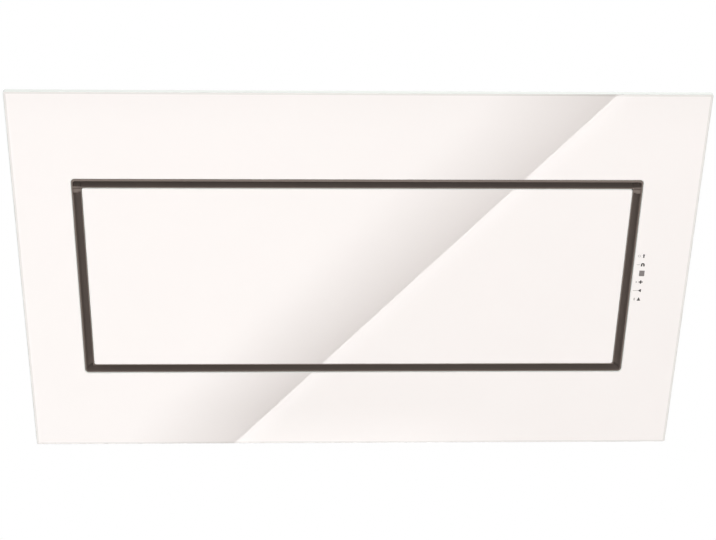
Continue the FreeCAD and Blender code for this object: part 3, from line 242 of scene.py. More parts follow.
def enamelled_glass(add, place, colours):
    """Toughened float glass with polished edges and white enamel fired on its back.

    The eye sees an even warm white under a mirror-like face, and pale faintly green edges. The enamel stops
    just short of the outer edges and leaves a greyer line there. It clouds slightly over a hand's width, and
    wiping leaves faint changes of gloss.
    """
    flat = 0.97  # a face whose cosine to the front is less counts as an edge
    (_, half_width), (_, height), _ = panel_span("outer_glass")
    normal = add("TexCoord")["Normal"]
    facing = add("VectorMath", {0: normal, 1: PANEL_OUT}, operation="DOT_PRODUCT")["Value"]
    level = add("Math", {0: facing}, operation="ABSOLUTE")[0]
    edge = add("Math", {0: level, 1: flat}, operation="LESS_THAN")[0]
    from_centre = add("VectorMath", {0: place, 1: on_panel(0, height / 2)}, operation="SUBTRACT")[0]
    reaches = []
    for way, limit in ((PANEL_ACROSS, half_width), (PANEL_UP, height / 2)):
        reach = add("VectorMath", {0: from_centre, 1: way}, operation="DOT_PRODUCT")["Value"]
        out = add("Math", {0: reach}, operation="ABSOLUTE")[0]
        reaches.append(add("Math", {0: out, 1: limit}, operation="SUBTRACT")[0])
    outmost = add("Math", {0: reaches[0], 1: reaches[1]}, operation="MAXIMUM")[0]
    border = bpy.context.scene.hood_sizes.bare_border
    bare = add("Math", {0: outmost, 1: -border}, operation="GREATER_THAN")[0]
    cloud, wiped, wave = patterns(add, place, ("TexNoise", 110, 2), ("TexNoise", 45, 4), ("TexNoise", 220, 0))
    sockets = surface(
        add, colours.enamel, (cloud, 0.975), (wiped, 0.015, 0.05), (wave, 0.05, 0.05), {"IOR": 1.52}
    )
    for share, colour in ((bare, colours.glass_border), (edge, colours.glass_edge)):
        layers = {0: share, 6: sockets["Base Color"], 7: rgba(colour)}
        sockets["Base Color"] = add("Mix", layers, data_type="RGBA")[2]
    return sockets


def powder_coat(add, place, colours):
    """Folded steel sheet with a fine-textured polyester powder coat, baked.

    Matt and even, with an orange-peel skin of about 1 mm and a slight speckle of tone.
    """
    peel, dust = patterns(add, place, ("TexNoise", 1.2, 2), ("TexNoise", 60, 3))
    fixed = {"IOR": 1.5, "Specular IOR Level": 0.12}
    return surface(add, colours.slot_paint, (dust, 0.88), (peel, 0.6, 0.75), (peel, 0.25, 0.05), fixed)


def brushed_stainless(add, place, colours, stretch):
    """Stainless steel sheet, brushed one way with a fine belt.

    Long hair lines that streak the reflections. They are about 0.1 mm apart on the real sheet and are drawn
    at 1 mm, with the passes of the belt at 8 mm, so that they show. Handling leaves cloudy patches.
    """
    along = add("Mapping", {"Vector": place, "Scale": stretch})[0]
    hair = add("TexNoise", {"Vector": along, "Scale": per_mm(1), "Detail": 3.0, "Roughness": 0.6})[0]
    passes = add("TexNoise", {"Vector": along, "Scale": per_mm(8), "Detail": 3.0, "Roughness": 0.7})[0]
    streak = add("MapRange", {0: passes, 1: 0.3, 2: 0.7})[0]
    streak_share = 0.6
    both = add("Mix", {0: streak_share, 2: hair, 3: streak})[0]
    (touch,) = patterns(add, place, ("TexNoise", 90, 3))
    worn = add("MapRange", {0: touch, 1: 0.35, 2: 0.75})[0]
    return surface(add, colours.stainless, (both, 0.72), (worn, 0.26, 0.40), (both, 0.15, 0.03), METAL)


def spangled_zinc(add, place, colours):
    """Hot-dip galvanised steel sheet.

    Flat zinc crystals 8 to 12 mm across, each with its own tone and gloss, over a dull grey.
    """
    spangle = add("TexVoronoi", {"Vector": place, "Scale": per_mm(10), "Randomness": 1.0})["Color"]
    tone = add("SeparateColor", {0: spangle})[0]
    (stain,) = patterns(add, place, ("TexNoise", 40, 4))
    both = add("Math", {0: tone, 1: stain}, operation="MULTIPLY")[0]
    return surface(add, colours.zinc, (both, 0.62), (tone, 0.34, 0.58), (tone, 0.06, 0.05), METAL)


def bright_zinc_plate(add, place, colours):
    """Turned and stamped steel with bright zinc plating.

    Fairly shiny and slightly blue, with faint tool marks 0.4 mm apart, drawn at 0.8 mm to show, and duller
    patches.
    """
    marks, haze = patterns(add, place, ("TexNoise", 0.8, 2), ("TexNoise", 9, 3))
    return surface(add, colours.bright_zinc, (haze, 0.8), (haze, 0.2, 0.38), (marks, 0.1, 0.03), METAL)


def anodised_aluminium(add, place, colours):
    """Rolled aluminium section, satin etched and clear anodised.

    Soft even sheen with the fine lines of the rolling along its length, drawn at 0.8 mm to show.
    """
    stretch = (0.04, 1.0, 1.0)
    along = add("Mapping", {"Vector": place, "Scale": stretch})[0]
    roll = add("TexNoise", {"Vector": along, "Scale": per_mm(0.8), "Detail": 2.0})[0]
    (etch,) = patterns(add, place, ("TexNoise", 30, 4))
    return surface(add, colours.aluminium, (roll, 0.85), (etch, 0.34, 0.48), (roll, 0.1, 0.03), METAL)


def expanded_aluminium(add, place, colours):
    """Aluminium foil, slit and stretched into a lattice, left bare.

    Bright cut edges and dull rolled faces, so the strands glitter unevenly. Scratches about 0.5 mm, drawn at
    0.9 mm to show.
    """
    scratch, patch = patterns(add, place, ("TexNoise", 0.9, 3), ("TexNoise", 25, 3))
    return surface(add, colours.lattice, (patch, 0.72), (scratch, 0.28, 0.5), (scratch, 0.2, 0.05), METAL)


def moulded_plastic(add, place, colours, colour, smoothest):
    """ABS, polyamide or acrylic, injection moulded in a spark-eroded tool.

    Low even sheen from a grain of about 0.4 mm, drawn at 0.7 mm to show, with flow clouds in the tone.
    """
    grain, flow = patterns(add, place, ("TexVoronoi", 0.7, 0), ("TexNoise", 35, 3))
    gloss = (flow, smoothest, smoothest + 0.12)
    return surface(add, getattr(colours, colour), (flow, 0.84), gloss, (grain, 0.15, 0.04), {"IOR": 1.53})


def stoved_lacquer(add, place, colours):
    """Pressed steel can with a sprayed and stoved lacquer.

    Semi-gloss dark skin with a soft orange peel of 2 mm.
    """
    peel, dust = patterns(add, place, ("TexNoise", 2, 1), ("TexNoise", 30, 3))
    paint = colours.motor_paint
    return surface(add, paint, (dust, 0.8), (dust, 0.32, 0.45), (peel, 0.15, 0.06), {"IOR": 1.5})


def stacked_laminations(add, place, colours):
    """Stack of punched electrical steel sheets, varnished.

    Dull grey-brown iron with the lines of the 0.5 mm sheets across the axis, drawn at 2 mm to show.
    """
    in_unit = 3.14  # about how many bands the pattern draws in one unit of its scale
    bands = {"Vector": place, "Scale": per_mm(2) / in_unit, "Distortion": 0.2}
    sheets = add("TexWave", bands, bands_direction="Y")[1]
    (stain,) = patterns(add, place, ("TexNoise", 14, 4))
    return surface(add, colours.iron, (stain, 0.6), (stain, 0.45, 0.65), (sheets, 0.3, 0.1), METAL)


def moulded_rubber(add, place, colours):
    """EPDM rubber, pressed in a mould and bloomed.

    Nearly black and matt, with a dusty bloom and a skin of about 1 mm.
    """
    skin, bloom = patterns(add, place, ("TexNoise", 1, 3), ("TexNoise", 8, 3))
    return surface(add, colours.rubber, (bloom, 0.6), (bloom, 0.72, 0.9), (skin, 0.2, 0.05), {"IOR": 1.5})


def glass_epoxy(add, place, colours):
    """Woven glass in epoxy with a green solder resist, screen printed.

    Satin green with the weave of the glass, 1.5 mm, just showing through.
    """
    weave = add("TexBrick", {"Vector": place, "Scale": per_mm(3), "Mortar Size": 0.02})[1]
    (resist,) = patterns(add, place, ("TexNoise", 6, 3))
    return surface(add, colours.board, (resist, 0.75), (resist, 0.3, 0.42), (weave, 0.1, 0.03), {"IOR": 1.55})


def frosted_polycarbonate(add, place, colours):
    """Polycarbonate lens, moulded with a frosted face.

    Milky white that passes some light, with a frost of about 0.3 mm, drawn at 0.6 mm to show.
    """
    frost, haze = patterns(add, place, ("TexNoise", 0.6, 2), ("TexNoise", 18, 2))
    fixed = {"IOR": 1.585, "Transmission Weight": 0.12}
    return surface(add, colours.lens, (haze, 0.94), (frost, 0.3, 0.42), (frost, 0.2, 0.03), fixed)


def foam_tape(add, place, colours):
    """Closed-cell polyethylene foam tape, cut from a roll.

    Pale and fully matt, with open cells of about 0.8 mm along its cut edges.
    """
    cells, roll = patterns(add, place, ("TexVoronoi", 0.8, 0), ("TexNoise", 50, 2))
    return surface(add, colours.foam, (roll, 0.9), (cells, 0.8, 0.95), (cells, 0.4, 0.15), {"IOR": 1.5})


def screen_print(add, place, colours, colour):
    """Two-part ink, screen printed on the glass and baked.

    Thin flat tone with slightly uneven cover from the mesh of the screen, about 0.15 mm, drawn at 0.4 mm.
    """
    (mesh,) = patterns(add, place, ("TexNoise", 0.4, 1))
    ink = getattr(colours, colour)
    return surface(add, ink, (mesh, 0.85), (mesh, 0.3, 0.45), (mesh, 0.1, 0.01), {"IOR": 1.5})


# Each finish by name, with its recipe and what the recipe is told
FINISHES = {
    "enamelled_float_glass": (enamelled_glass,),
    "powder_coated_steel": (powder_coat,),
    "brushed_stainless_across": (brushed_stainless, (0.02, 1.0, 1.0)),
    "brushed_stainless_deep": (brushed_stainless, (1.0, 0.02, 1.0)),
    "hot_dip_galvanised_steel": (spangled_zinc,),
    "bright_zinc_plated_steel": (bright_zinc_plate,),
    "anodised_aluminium": (anodised_aluminium,),
    "expanded_aluminium": (expanded_aluminium,),
    "moulded_abs_black": (moulded_plastic, "black_plastic", 0.42),
    "moulded_polyamide_grey": (moulded_plastic, "grey_plastic", 0.4),
    "moulded_acrylic_smoke": (moulded_plastic, "display", 0.12),
    "stoved_lacquer": (stoved_lacquer,),
    "laminated_iron": (stacked_laminations,),
    "moulded_epdm_rubber": (moulded_rubber,),
    "glass_epoxy_board": (glass_epoxy,),
    "frosted_polycarbonate": (frosted_polycarbonate,),
    "polyethylene_foam_tape": (foam_tape,),
    "screen_print_dark": (screen_print, "ink"),
    "screen_print_pale": (screen_print, "hint"),
}


def finish(name):
    """The material of that name, made once from its recipe."""
    if name in bpy.data.materials:
        return bpy.data.materials[name]
    material = bpy.data.materials.new(name)
    add = empty_tree(material)
    recipe, *choices = FINISHES[name]
    sockets = recipe(add, add("TexCoord")["Object"], bpy.context.scene.hood_colours, *choices)
    add("OutputMaterial", {"Surface": add("BsdfPrincipled", sockets)["BSDF"]})
    return material


# Meshes


def dress(finish_name, *nodes):
    """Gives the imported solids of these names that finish."""
    for name in nodes:
        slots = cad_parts[name].data.materials
        slots.clear()
        slots.append(finish(finish_name))


def placed(name, data):
    """New object of the scene that shows this data."""
    made = bpy.data.objects.new(name, data)
    bpy.context.scene.collection.objects.link(made)
    return made


def mesh_object(name, shape, material=None):
    """Turns a bmesh into an object of the scene."""
    mesh = bpy.data.meshes.new(name)
    shape.to_mesh(mesh)
    shape.free()
    if material:
        mesh.materials.append(material)
    return placed(name, mesh)


def make_piece(name, shape, finish_name, body, stands_for=(), smooth=None):
    """Turns a bmesh into a piece that rides on a body."""
    bmesh.ops.recalc_face_normals(shape, faces=shape.faces[:])
    piece = mesh_object(name, shape, finish(finish_name))
    if smooth is not None:
        piece.data.shade_smooth()
        piece.data.set_sharp_from_angle(angle=math.radians(smooth))
    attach(piece, body)
    if stands_for:
        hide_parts(*stands_for)


def round_pairs(items):
    """Each item with the next one, and the last with the first."""
    return zip(items, items[1:] + items[:1])


def band(shape, one, other):
    """Faces between two rings of corners. A ring may be one corner again and again, as on an axis."""
    for (near, far), (next_near, next_far) in round_pairs(list(zip(one, other))):
        shape.faces.new(list(dict.fromkeys((near, next_near, next_far, far))))


def prism(shape, to_place, low, high, outline, hole=None):
    """Closed prism on an outline: to_place turns (x, y, height) into a point.

    A hole is an outline with as many points.
    """
    levels = [(outline, low), (outline, high)] + ([(hole, high), (hole, low)] if hole else [])
    rings = [[shape.verts.new(to_place(x, y, height)) for x, y in points] for points, height in levels]
    if not hole:
        shape.faces.new(rings[0])
        shape.faces.new(rings[1])
    for one, other in round_pairs(rings) if hole else [rings]:
        band(shape, one, other)


def ring_points(radius, sides, x=0.0, y=0.0):
    """Points round a circle."""
    angles = [math.tau * i / sides for i in range(sides)]
    return [(x + radius * math.cos(angle), y + radius * math.sin(angle)) for angle in angles]


def box_points(left, right, low, high):
    return [(left, low), (right, low), (right, high), (left, high)]


def cross_points(arm, side):
    """Outline of an upright cross: its middle to the end of an arm, and to the side of an arm."""
    quarter, points = [(-arm, -side), (-side, -side), (-side, -arm)], []
    for _ in range(4):
        points += quarter
        quarter = [(-y, x) for x, y in quarter]
    return points


def lathe(shape, profile, sides, matrix=Matrix()):
    """Turns a profile of (radius, height) points round the z axis. Points on the axis close it."""
    rings = []
    for radius, height in profile:
        if radius == 0:
            rings.append([shape.verts.new(matrix @ Vector((0, 0, height)))] * sides)
        else:
            circle = ring_points(radius, sides)
            rings.append([shape.verts.new(matrix @ Vector((x, y, height))) for x, y in circle])
    on_axis = profile[0][0] == 0
    for one, other in zip(rings, rings[1:]) if on_axis else round_pairs(rings):
        band(shape, one, other)


def islands(node):
    """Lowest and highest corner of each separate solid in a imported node."""
    shape = bmesh.new()
    shape.from_mesh(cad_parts[node].data)
    bmesh.ops.remove_doubles(shape, verts=shape.verts[:], dist=1e-6)
    left, boxes = set(shape.verts), []
    while left:
        grown = [left.pop()]
        points = []
        while grown:
            vert = grown.pop()
            points.append(vert.co.copy())
            for edge in vert.link_edges:
                near = edge.other_vert(vert)
                if near in left:
                    left.remove(near)
                    grown.append(near)
        low = Vector(min(p[k] for p in points) for k in range(3))
        high = Vector(max(p[k] for p in points) for k in range(3))
        boxes.append((low, high))
    shape.free()
    return sorted(boxes, key=lambda box: tuple(round(c, 5) for c in box[0]))


# Operators, one for each group of pieces


class HOOD_OT_glass(bpy.types.Operator):
    """Finishes the fixed glass, the door glass and the foam tape behind them"""

    bl_idname = "hood.glass"
    bl_label = "Glass Front"

    def execute(self, context):
        dress("enamelled_float_glass", "outer_glass", "door_glass")
        dress("polyethylene_foam_tape", "glass_bonding_strips", "door_bonding_strips")
        return {"FINISHED"}


class HOOD_OT_key_marks(bpy.types.Operator):
    """Prints the key marks, the pale hints beside them and the display window on the glass"""

    bl_idname = "hood.key_marks"
    bl_label = "Key Marks"

    # The marks from the lowest up, the runs of round edges, and half widths in halves of the mark size
    rows = ("power", "less", "more", "display", "timer", "lamp")
    round_sides, arch_runs = 20, 12
    stroke, hair, arch_gap = 0.3, 0.12, 0.25

    def outlines(self):
        """Rows and outlines of the marks, the hints and the window, in halves of the mark size."""
        hair, gap, runs = self.hair, self.arch_gap, self.arch_runs
        arc = [(math.cos(math.pi * i / runs), math.sin(math.pi * i / runs)) for i in range(runs + 1)]
        inner = [(gap * x, gap * y) for x, y in reversed(arc)]
        arch = arc + [(-1, -1), (-gap, -1)] + inner + [(gap, -1), (1, -1)]
        marks = (
            ("lamp", ring_points(0.52, self.round_sides, 0, 0.5)),
            ("lamp", box_points(-0.36, 0.36, -1.1, -0.02)),
            ("timer", arch),
            ("more", cross_points(1.05, self.stroke)),
            ("less", [(-1, 0), (0.7, -1), (0.7, 1)]),
            ("power", [(-1, -1), (1, -1), (0, 1.15)]),
        )
        hints = (
            ("timer", box_points(-0.8, 0.8, -hair, hair)),
            ("more", box_points(-hair * 2, hair * 2, -0.45, 0.45)),
            ("less", box_points(-1.3, 1.7, -hair, hair)),
            ("power", box_points(-hair * 2, hair * 2, -0.75, 0.75)),
            ("lamp", ring_points(0.7, self.round_sides), ring_points(0.7 - hair * 1.6, self.round_sides)),
        )
        return marks, hints, (("display", box_points(-1.4, 1.4, -1.66, 1.66)),)

    def execute(self, context):
        sizes = context.scene.hood_sizes
        marks, hints, window = self.outlines()

        def at(row, column):
            half, up = sizes.mark_size / 2, sizes.mark_foot + sizes.mark_pitch * self.rows.index(row)
            return lambda x, y, out: on_panel(column + half * x, up + half * y, out)

        for name, finish_name, column, prints in (
            ("key_marks", "screen_print_dark", sizes.mark_column, marks),
            ("key_hints", "screen_print_pale", sizes.hint_column, hints),
            ("display_window", "moulded_acrylic_smoke", sizes.mark_column, window),
        ):
            shape = bmesh.new()
            for row, *outlines in prints:
                prism(shape, at(row, column), 0, sizes.ink_thickness, *outlines)
            make_piece(name, shape, finish_name, "hood")
        return {"FINISHED"}


class HOOD_OT_intake(bpy.types.Operator):
    """Paints the slot liner, the door pan and the filter rails, and rolls the air guides"""

    bl_idname = "hood.intake"
    bl_label = "Intake Slot"

    # Straight runs in the roll of an air guide, and the power with which it curls towards its nose
    runs = 16
    curl = 2.6

    def roll_guide(self, shape, face, notch, levels, sign, sheet):
        """Rolled sheet from the first level to the second, and from run number notch on to the third."""
        verts = [
            [
                [shape.verts.new(on_panel(sign * (x + thick), up, -depth - thick)) for x, depth in face]
                for thick in (0, sheet)
            ]
            for up in levels
        ]
        cells = [(run, layer) for run in range(self.runs) for layer in (0, 1) if layer == 0 or run >= notch]
        for run, layer in cells:
            corners = [
                (verts[layer + up][0][run + far], verts[layer + up][1][run + far])
                for up, far in ((0, 0), (0, 1), (1, 1), (1, 0))
            ]
            for side in zip(*corners):
                shape.faces.new(side)
            beside = (run, layer - 1), (run + 1, layer), (run, layer + 1), (run - 1, layer)
            for cell, ((front, back), (next_front, next_back)) in zip(beside, round_pairs(corners)):
                if cell not in cells:
                    shape.faces.new((front, next_front, next_back, back))
        bmesh.ops.delete(shape, geom=[v for v in shape.verts if not v.link_faces], context="VERTS")

    def execute(self, context):
        paint = "powder_coated_steel"
        dress(
            paint, "slot_trim", "liner_top", "liner_bottom", "liner_left", "liner_right", "door_tray",
            "door_ribs", "filter_rail_bottom", "filter_rail_top",
        )
        sizes = context.scene.hood_sizes
        wall = panel_span("liner_right")[0][0]
        mouth, sheet = panel_span("slot_trim")[2][0] + sizes.guide_lip, sizes.guide_sheet
        face = []
        for i in range(self.runs + 1):
            share = i / self.runs
            out = sheet + (sizes.guide_reach - sheet) * share**self.curl
            face.append((wall - out, mouth + (sizes.guide_depth - mouth) * share))
        _, catch_up, catch_deep = panel_span("catch_magnets")
        notch = sum(depth < catch_deep[1] + sheet for _, depth in face)
        levels = [
            panel_span("liner_bottom")[1][1] + sizes.guide_gap, catch_up[0] - sizes.guide_gap,
            panel_span("liner_top")[1][0] - sizes.guide_gap,
        ]
        for side, sign in (("left", -1), ("right", 1)):
            shape = bmesh.new()
            self.roll_guide(shape, face, notch, levels, sign, sheet)
            make_piece(f"air_guide_{side}", shape, paint, "hood", smooth=30)
        return {"FINISHED"}


class HOOD_OT_filters(bpy.types.Operator):
    """Weaves the filter lattice and finishes the filter frames and latches"""

    bl_idname = "hood.filters"
    bl_label = "Grease Filters"

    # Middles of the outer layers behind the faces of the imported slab
    inset = 1.05 * MM
    # Middle of a strand to the corner of its cell, as a share of half its width: under 1, strands lap there
    lap = 0.6

    def lattice(self, shape, sizes, span, depth, shift):
        """One layer of stretched lattice: zigzag strands that meet at the corners of the cells.

        shift is how far the layer sits higher than the first one, as a share of a row.
        """
        (left, right), (low, high), _ = span
        columns = round((right - left) / (sizes.cell_long / 2))
        rows = round((high - low) / (sizes.cell_short / 2))
        step, rise = (right - left) / columns, (high - low) / rows
        wide, thick = sizes.strand_width / 2, sizes.strand_thickness / 2
        for row in range(rows if shift == 0 else rows - 1):
            middle = low + rise * (row + 0.5 + shift)
            sections = []
            for i in range(columns + 1):
                swing = (rise / 2 - wide * self.lap) * (1 if (i + row) % 2 else -1)
                tilt = thick / 2 * (1 if i % 2 else -1)
                x, y = left + step * i, middle + swing
                sections.append([
                    shape.verts.new(on_panel(x, y + dy, -(depth + dd + (tilt if dy > 0 else -tilt))))
                    for dy, dd in ((-wide, -thick), (wide, -thick), (wide, thick), (-wide, thick))
                ])
            for one, other in zip(sections, sections[1:]):
                band(shape, one, other)
            shape.faces.new(sections[0])
            shape.faces.new(sections[-1])

    def execute(self, context):
        for side in ("left", "right"):
            shape = bmesh.new()
            mesh = f"filter_mesh_{side}"
            span = panel_span(mesh)
            front, back = span[2]
            depths = (front + self.inset, (front + back) / 2, back - self.inset)
            for layer, depth in enumerate(depths):
                self.lattice(shape, context.scene.hood_sizes, span, depth, layer / len(depths))
            make_piece(f"filter_lattice_{side}", shape, "expanded_aluminium", "hood", [mesh])
        dress("anodised_aluminium", "filter_frame_left", "filter_frame_right", "latch_guides")
        dress("moulded_abs_black", "filter_latch_left", "filter_latch_right")
        return {"FINISHED"}


class HOOD_OT_hinges(bpy.types.Operator):
    """Finishes the door hinges and the door catches, and adds the pole plates of the catches"""

    bl_idname = "hood.hinges"
    bl_label = "Hinges and Catches"

    def execute(self, context):
        dress("bright_zinc_plated_steel", "hinge_bases", "hinge_leaves", "hinge_pins")
        dress("powder_coated_steel", "catch_keepers", "catch_magnets")
        sizes = context.scene.hood_sizes
        inset, cut = sizes.pole_inset, 2 * sizes.pole_inset
        _, (low, top), (front, back) = panel_span("catch_magnets")
        low, top, front, back = low + inset, top - inset, front + inset, back - inset
        outline = [
            (low + cut, front), (top - cut, front), (top, front + cut), (top, back - cut),
            (top - cut, back), (low + cut, back), (low, back - cut), (low, front + cut),
        ]
        pan_side = panel_span("door_tray")[0][1] + sizes.pole_gap
        magnet_side = min(abs(x) for box in islands("catch_magnets") for x in (box[0].x, box[1].x))
        shape = bmesh.new()
        for sign in (-1, 1):
            prism(shape, lambda up, deep, x: on_panel(sign * x, up, -deep), pan_side, magnet_side, outline)
        make_piece("catch_pole_plates", shape, "powder_coated_steel", "hood")
        return {"FINISHED"}


class HOOD_OT_casing(bpy.types.Operator):
    """Finishes the casing sheets and the zinc-coated sheets behind the glass"""

    bl_idname = "hood.casing"
    bl_label = "Casing"

    def execute(self, context):
        dress("brushed_stainless_across", "casing_back", "casing_top", "casing_bottom")
        dress("brushed_stainless_deep", "casing_side_left", "casing_side_right")
        dress(
            "hot_dip_galvanised_steel", "carrier_frame", "filter_partition", "chamber_floor", "corner_angles",
            "outlet_plenum", "scroll_housing", "scroll_cover",
        )
        return {"FINISHED"}


class HOOD_OT_screws(bpy.types.Operator):
    """Makes the pan-head screws of the casing and the collar, with their cross drives"""

    bl_idname = "hood.screws"
    bl_label = "Screws"

    # One screw in millimetres: radii, and heights over the seat of its head
    profile = (
        (0, -8), (0.78, -8), (1.95, -6.4), (1.95, 0), (3.88, 0), (4, 0.24), (3.92, 0.9), (3.28, 1.6),
        (2, 1.94), (0, 2),
    )
    head_height, drive_floor, drive_top = 2, 0.6, 3
    drive_arm, drive_side = 2.08, 0.52
    sides = 24
    # How much further each screw is turned than the one before, in radians
    turn = 0.9

    def screw_mesh(self):
        """One screw: its head stands on the origin and points up."""
        solid, tool = bmesh.new(), bmesh.new()
        lathe(solid, self.profile, self.sides, Matrix.Scale(MM, 4))
        cross = cross_points(self.drive_arm, self.drive_side)
        prism(tool, lambda *point: Vector(point) * MM, self.drive_floor, self.drive_top, cross)
        made = []
        for name, shape in (("screw_blank", solid), ("screw_drive", tool)):
            bmesh.ops.recalc_face_normals(shape, faces=shape.faces[:])
            made.append(mesh_object(name, shape))
        blank, drive = made
        cutter = blank.modifiers.new("drive", "BOOLEAN")
        cutter.operation, cutter.solver, cutter.object = "DIFFERENCE", "EXACT", drive
        whole = blank.evaluated_get(bpy.context.evaluated_depsgraph_get())
        mesh = bpy.data.meshes.new_from_object(whole)
        for spare in made:
            bpy.data.objects.remove(spare)
        return mesh

    def execute(self, context):
        pattern = self.screw_mesh()
        height = self.head_height * MM
        for kind in ("casing", "collar"):
            node = f"{kind}_screws"
            shape = bmesh.new()
            for count, (low, high) in enumerate(islands(node)):
                seat, aim = (low + high) / 2, Matrix()
                if kind == "collar":
                    seat.z = high.z - height
                else:
                    side = 1 if seat.x > 0 else -1
                    seat.x = (high.x if side > 0 else low.x) - side * height
                    aim = Matrix.Rotation(side * math.pi / 2, 4, "Y")
                copy = pattern.copy()
                copy.transform(Matrix.Translation(seat) @ aim @ Matrix.Rotation(self.turn * count, 4, "Z"))
                shape.from_mesh(copy)
                bpy.data.meshes.remove(copy)
            steel = "bright_zinc_plated_steel"
            make_piece(f"{kind}_screw_heads", shape, steel, "hood", [node], smooth=35)
        return {"FINISHED"}


class HOOD_OT_outlet(bpy.types.Operator):
    """Finishes the duct outlet and makes the cable gland"""

    bl_idname = "hood.outlet"
    bl_label = "Duct Outlet"

    # The cable gland in millimetres: radii, and heights over its seat on the top sheet
    sides, bore = 48, 4.5
    stub_sides, stub_foot, stub_end = 36, -10, 7.2
    thread_turns, thread_foot, thread_pitch, thread_root, thread_crest = 6, -9.8, 1.6, 7.4, 8
    flange, flange_top = 12.8, 1.2
    nut, nut_runs, nut_top = 12.2, 8, 6.2
    cap, cap_groove, cap_top = 10.4, 9.7, 14.5
    dome = ((9.8, 14.5), (9.4, 16.5), (8.4, 18.5), (6.8, 19.8), (4.5, 20))

    def gland(self, shape, place):
        """Threaded stub, flange, hexagon nut, ribbed cap and dome round one bore."""
        thread = []
        for turn in range(self.thread_turns):
            height = self.thread_foot + turn * self.thread_pitch
            thread += [(self.thread_root, height), (self.thread_crest, height + self.thread_pitch / 2)]
        foot = [(self.bore, self.stub_foot), (self.stub_end, self.stub_foot)]
        lathe(shape, foot + thread + [(self.thread_crest, 0), (self.bore, 0)], self.stub_sides, place)
        corners = ring_points(self.nut, 6)
        hexagon = [
            (x + (next_x - x) * k / self.nut_runs, y + (next_y - y) * k / self.nut_runs)
            for (x, y), (next_x, next_y) in round_pairs(corners)
            for k in range(self.nut_runs)
        ]
        rings = ring_points(self.cap, self.sides), ring_points(self.cap_groove, self.sides)
        ribs = [rings[0 if i % 3 else 1][i] for i in range(self.sides)]
        flange, hole = ring_points(self.flange, self.sides), ring_points(self.bore, self.sides)
        low = 0
        for high, outline in ((self.flange_top, flange), (self.nut_top, hexagon), (self.cap_top, ribs)):
            prism(shape, lambda *point: place @ Vector(point), low, high, outline, hole)
            low = high
        lathe(shape, [(self.bore, self.cap_top), *self.dome], self.sides, place)

    def execute(self, context):
        dress("moulded_abs_black", "outlet_collar", "flap_front", "flap_rear")
        dress("bright_zinc_plated_steel", "flap_pin")
        low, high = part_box("cable_gland")
        seat = Vector(((low.x + high.x) / 2, (low.y + high.y) / 2, low.z - self.stub_foot * MM))
        shape = bmesh.new()
        self.gland(shape, Matrix.Translation(seat) @ Matrix.Scale(MM, 4))
        grey = "moulded_polyamide_grey"
        make_piece("cable_gland_detail", shape, grey, "hood", ["cable_gland"], smooth=30)
        return {"FINISHED"}


class HOOD_OT_blower(bpy.types.Operator):
    """Finishes the fan wheel, the motor and the bushes"""

    bl_idname = "hood.blower"
    bl_label = "Blower"

    def execute(self, context):
        dress("moulded_polyamide_grey", "impeller")
        dress("stoved_lacquer", "motor_can")
        dress("laminated_iron", "motor_stator", "motor_rotor")
        dress("bright_zinc_plated_steel", "motor_shaft", "motor_bearings")
        dress("moulded_epdm_rubber", "blower_bushes")
        return {"FINISHED"}


class HOOD_OT_electrics(bpy.types.Operator):
    """Finishes the control box, its board, the lamp driver, the capacitor and the touch unit"""

    bl_idname = "hood.electrics"
    bl_label = "Electrics"

    def execute(self, context):
        dress("moulded_polyamide_grey", "control_box", "control_box_lid", "capacitor", "lamp_driver")
        dress("glass_epoxy_board", "control_board", "touch_board")
        dress("moulded_abs_black", "touch_housing")
        return {"FINISHED"}


class HOOD_OT_lamps(bpy.types.Operator):
    """Makes the ringed lamp lenses and finishes the lamp cups"""

    bl_idname = "hood.lamps"
    bl_label = "Lamps"

    sides = 64
    # Shares of a lens's radius
    ringed, outmost_ring, bevel_inner = 0.8, 0.9, 0.97
    # Shares of its thickness
    bevel_height, groove, dimple = 0.15, 0.22, 0.1
    # Share of the ring spacing
    ring_slope = 0.15

    def execute(self, context):
        ring = context.scene.hood_sizes.lens_ring
        shape = bmesh.new()
        for low, high in islands("lamp_lenses"):
            middle = (low + high) / 2
            radius, thick = (high.x - low.x) / 2, high.z - low.z
            steps = int(radius * self.ringed / ring)
            bevel = [(radius, thick * self.bevel_height), (radius * self.bevel_inner, 0)]
            profile = [(0, thick), (radius, thick), *bevel]
            for i in range(steps, 0, -1):
                edge = radius * self.outmost_ring * i / steps
                profile += [(edge, 0), (edge - ring * self.ring_slope, thick * self.groove)]
            profile.append((0, thick * self.dimple))
            lathe(shape, profile, self.sides, Matrix.Translation((middle.x, middle.y, low.z)))
        make_piece(
            "lamp_lens_rings", shape, "frosted_polycarbonate", "hood", ["lamp_lenses"], smooth=25
        )
        dress("anodised_aluminium", "lamp_bodies")
        return {"FINISHED"}


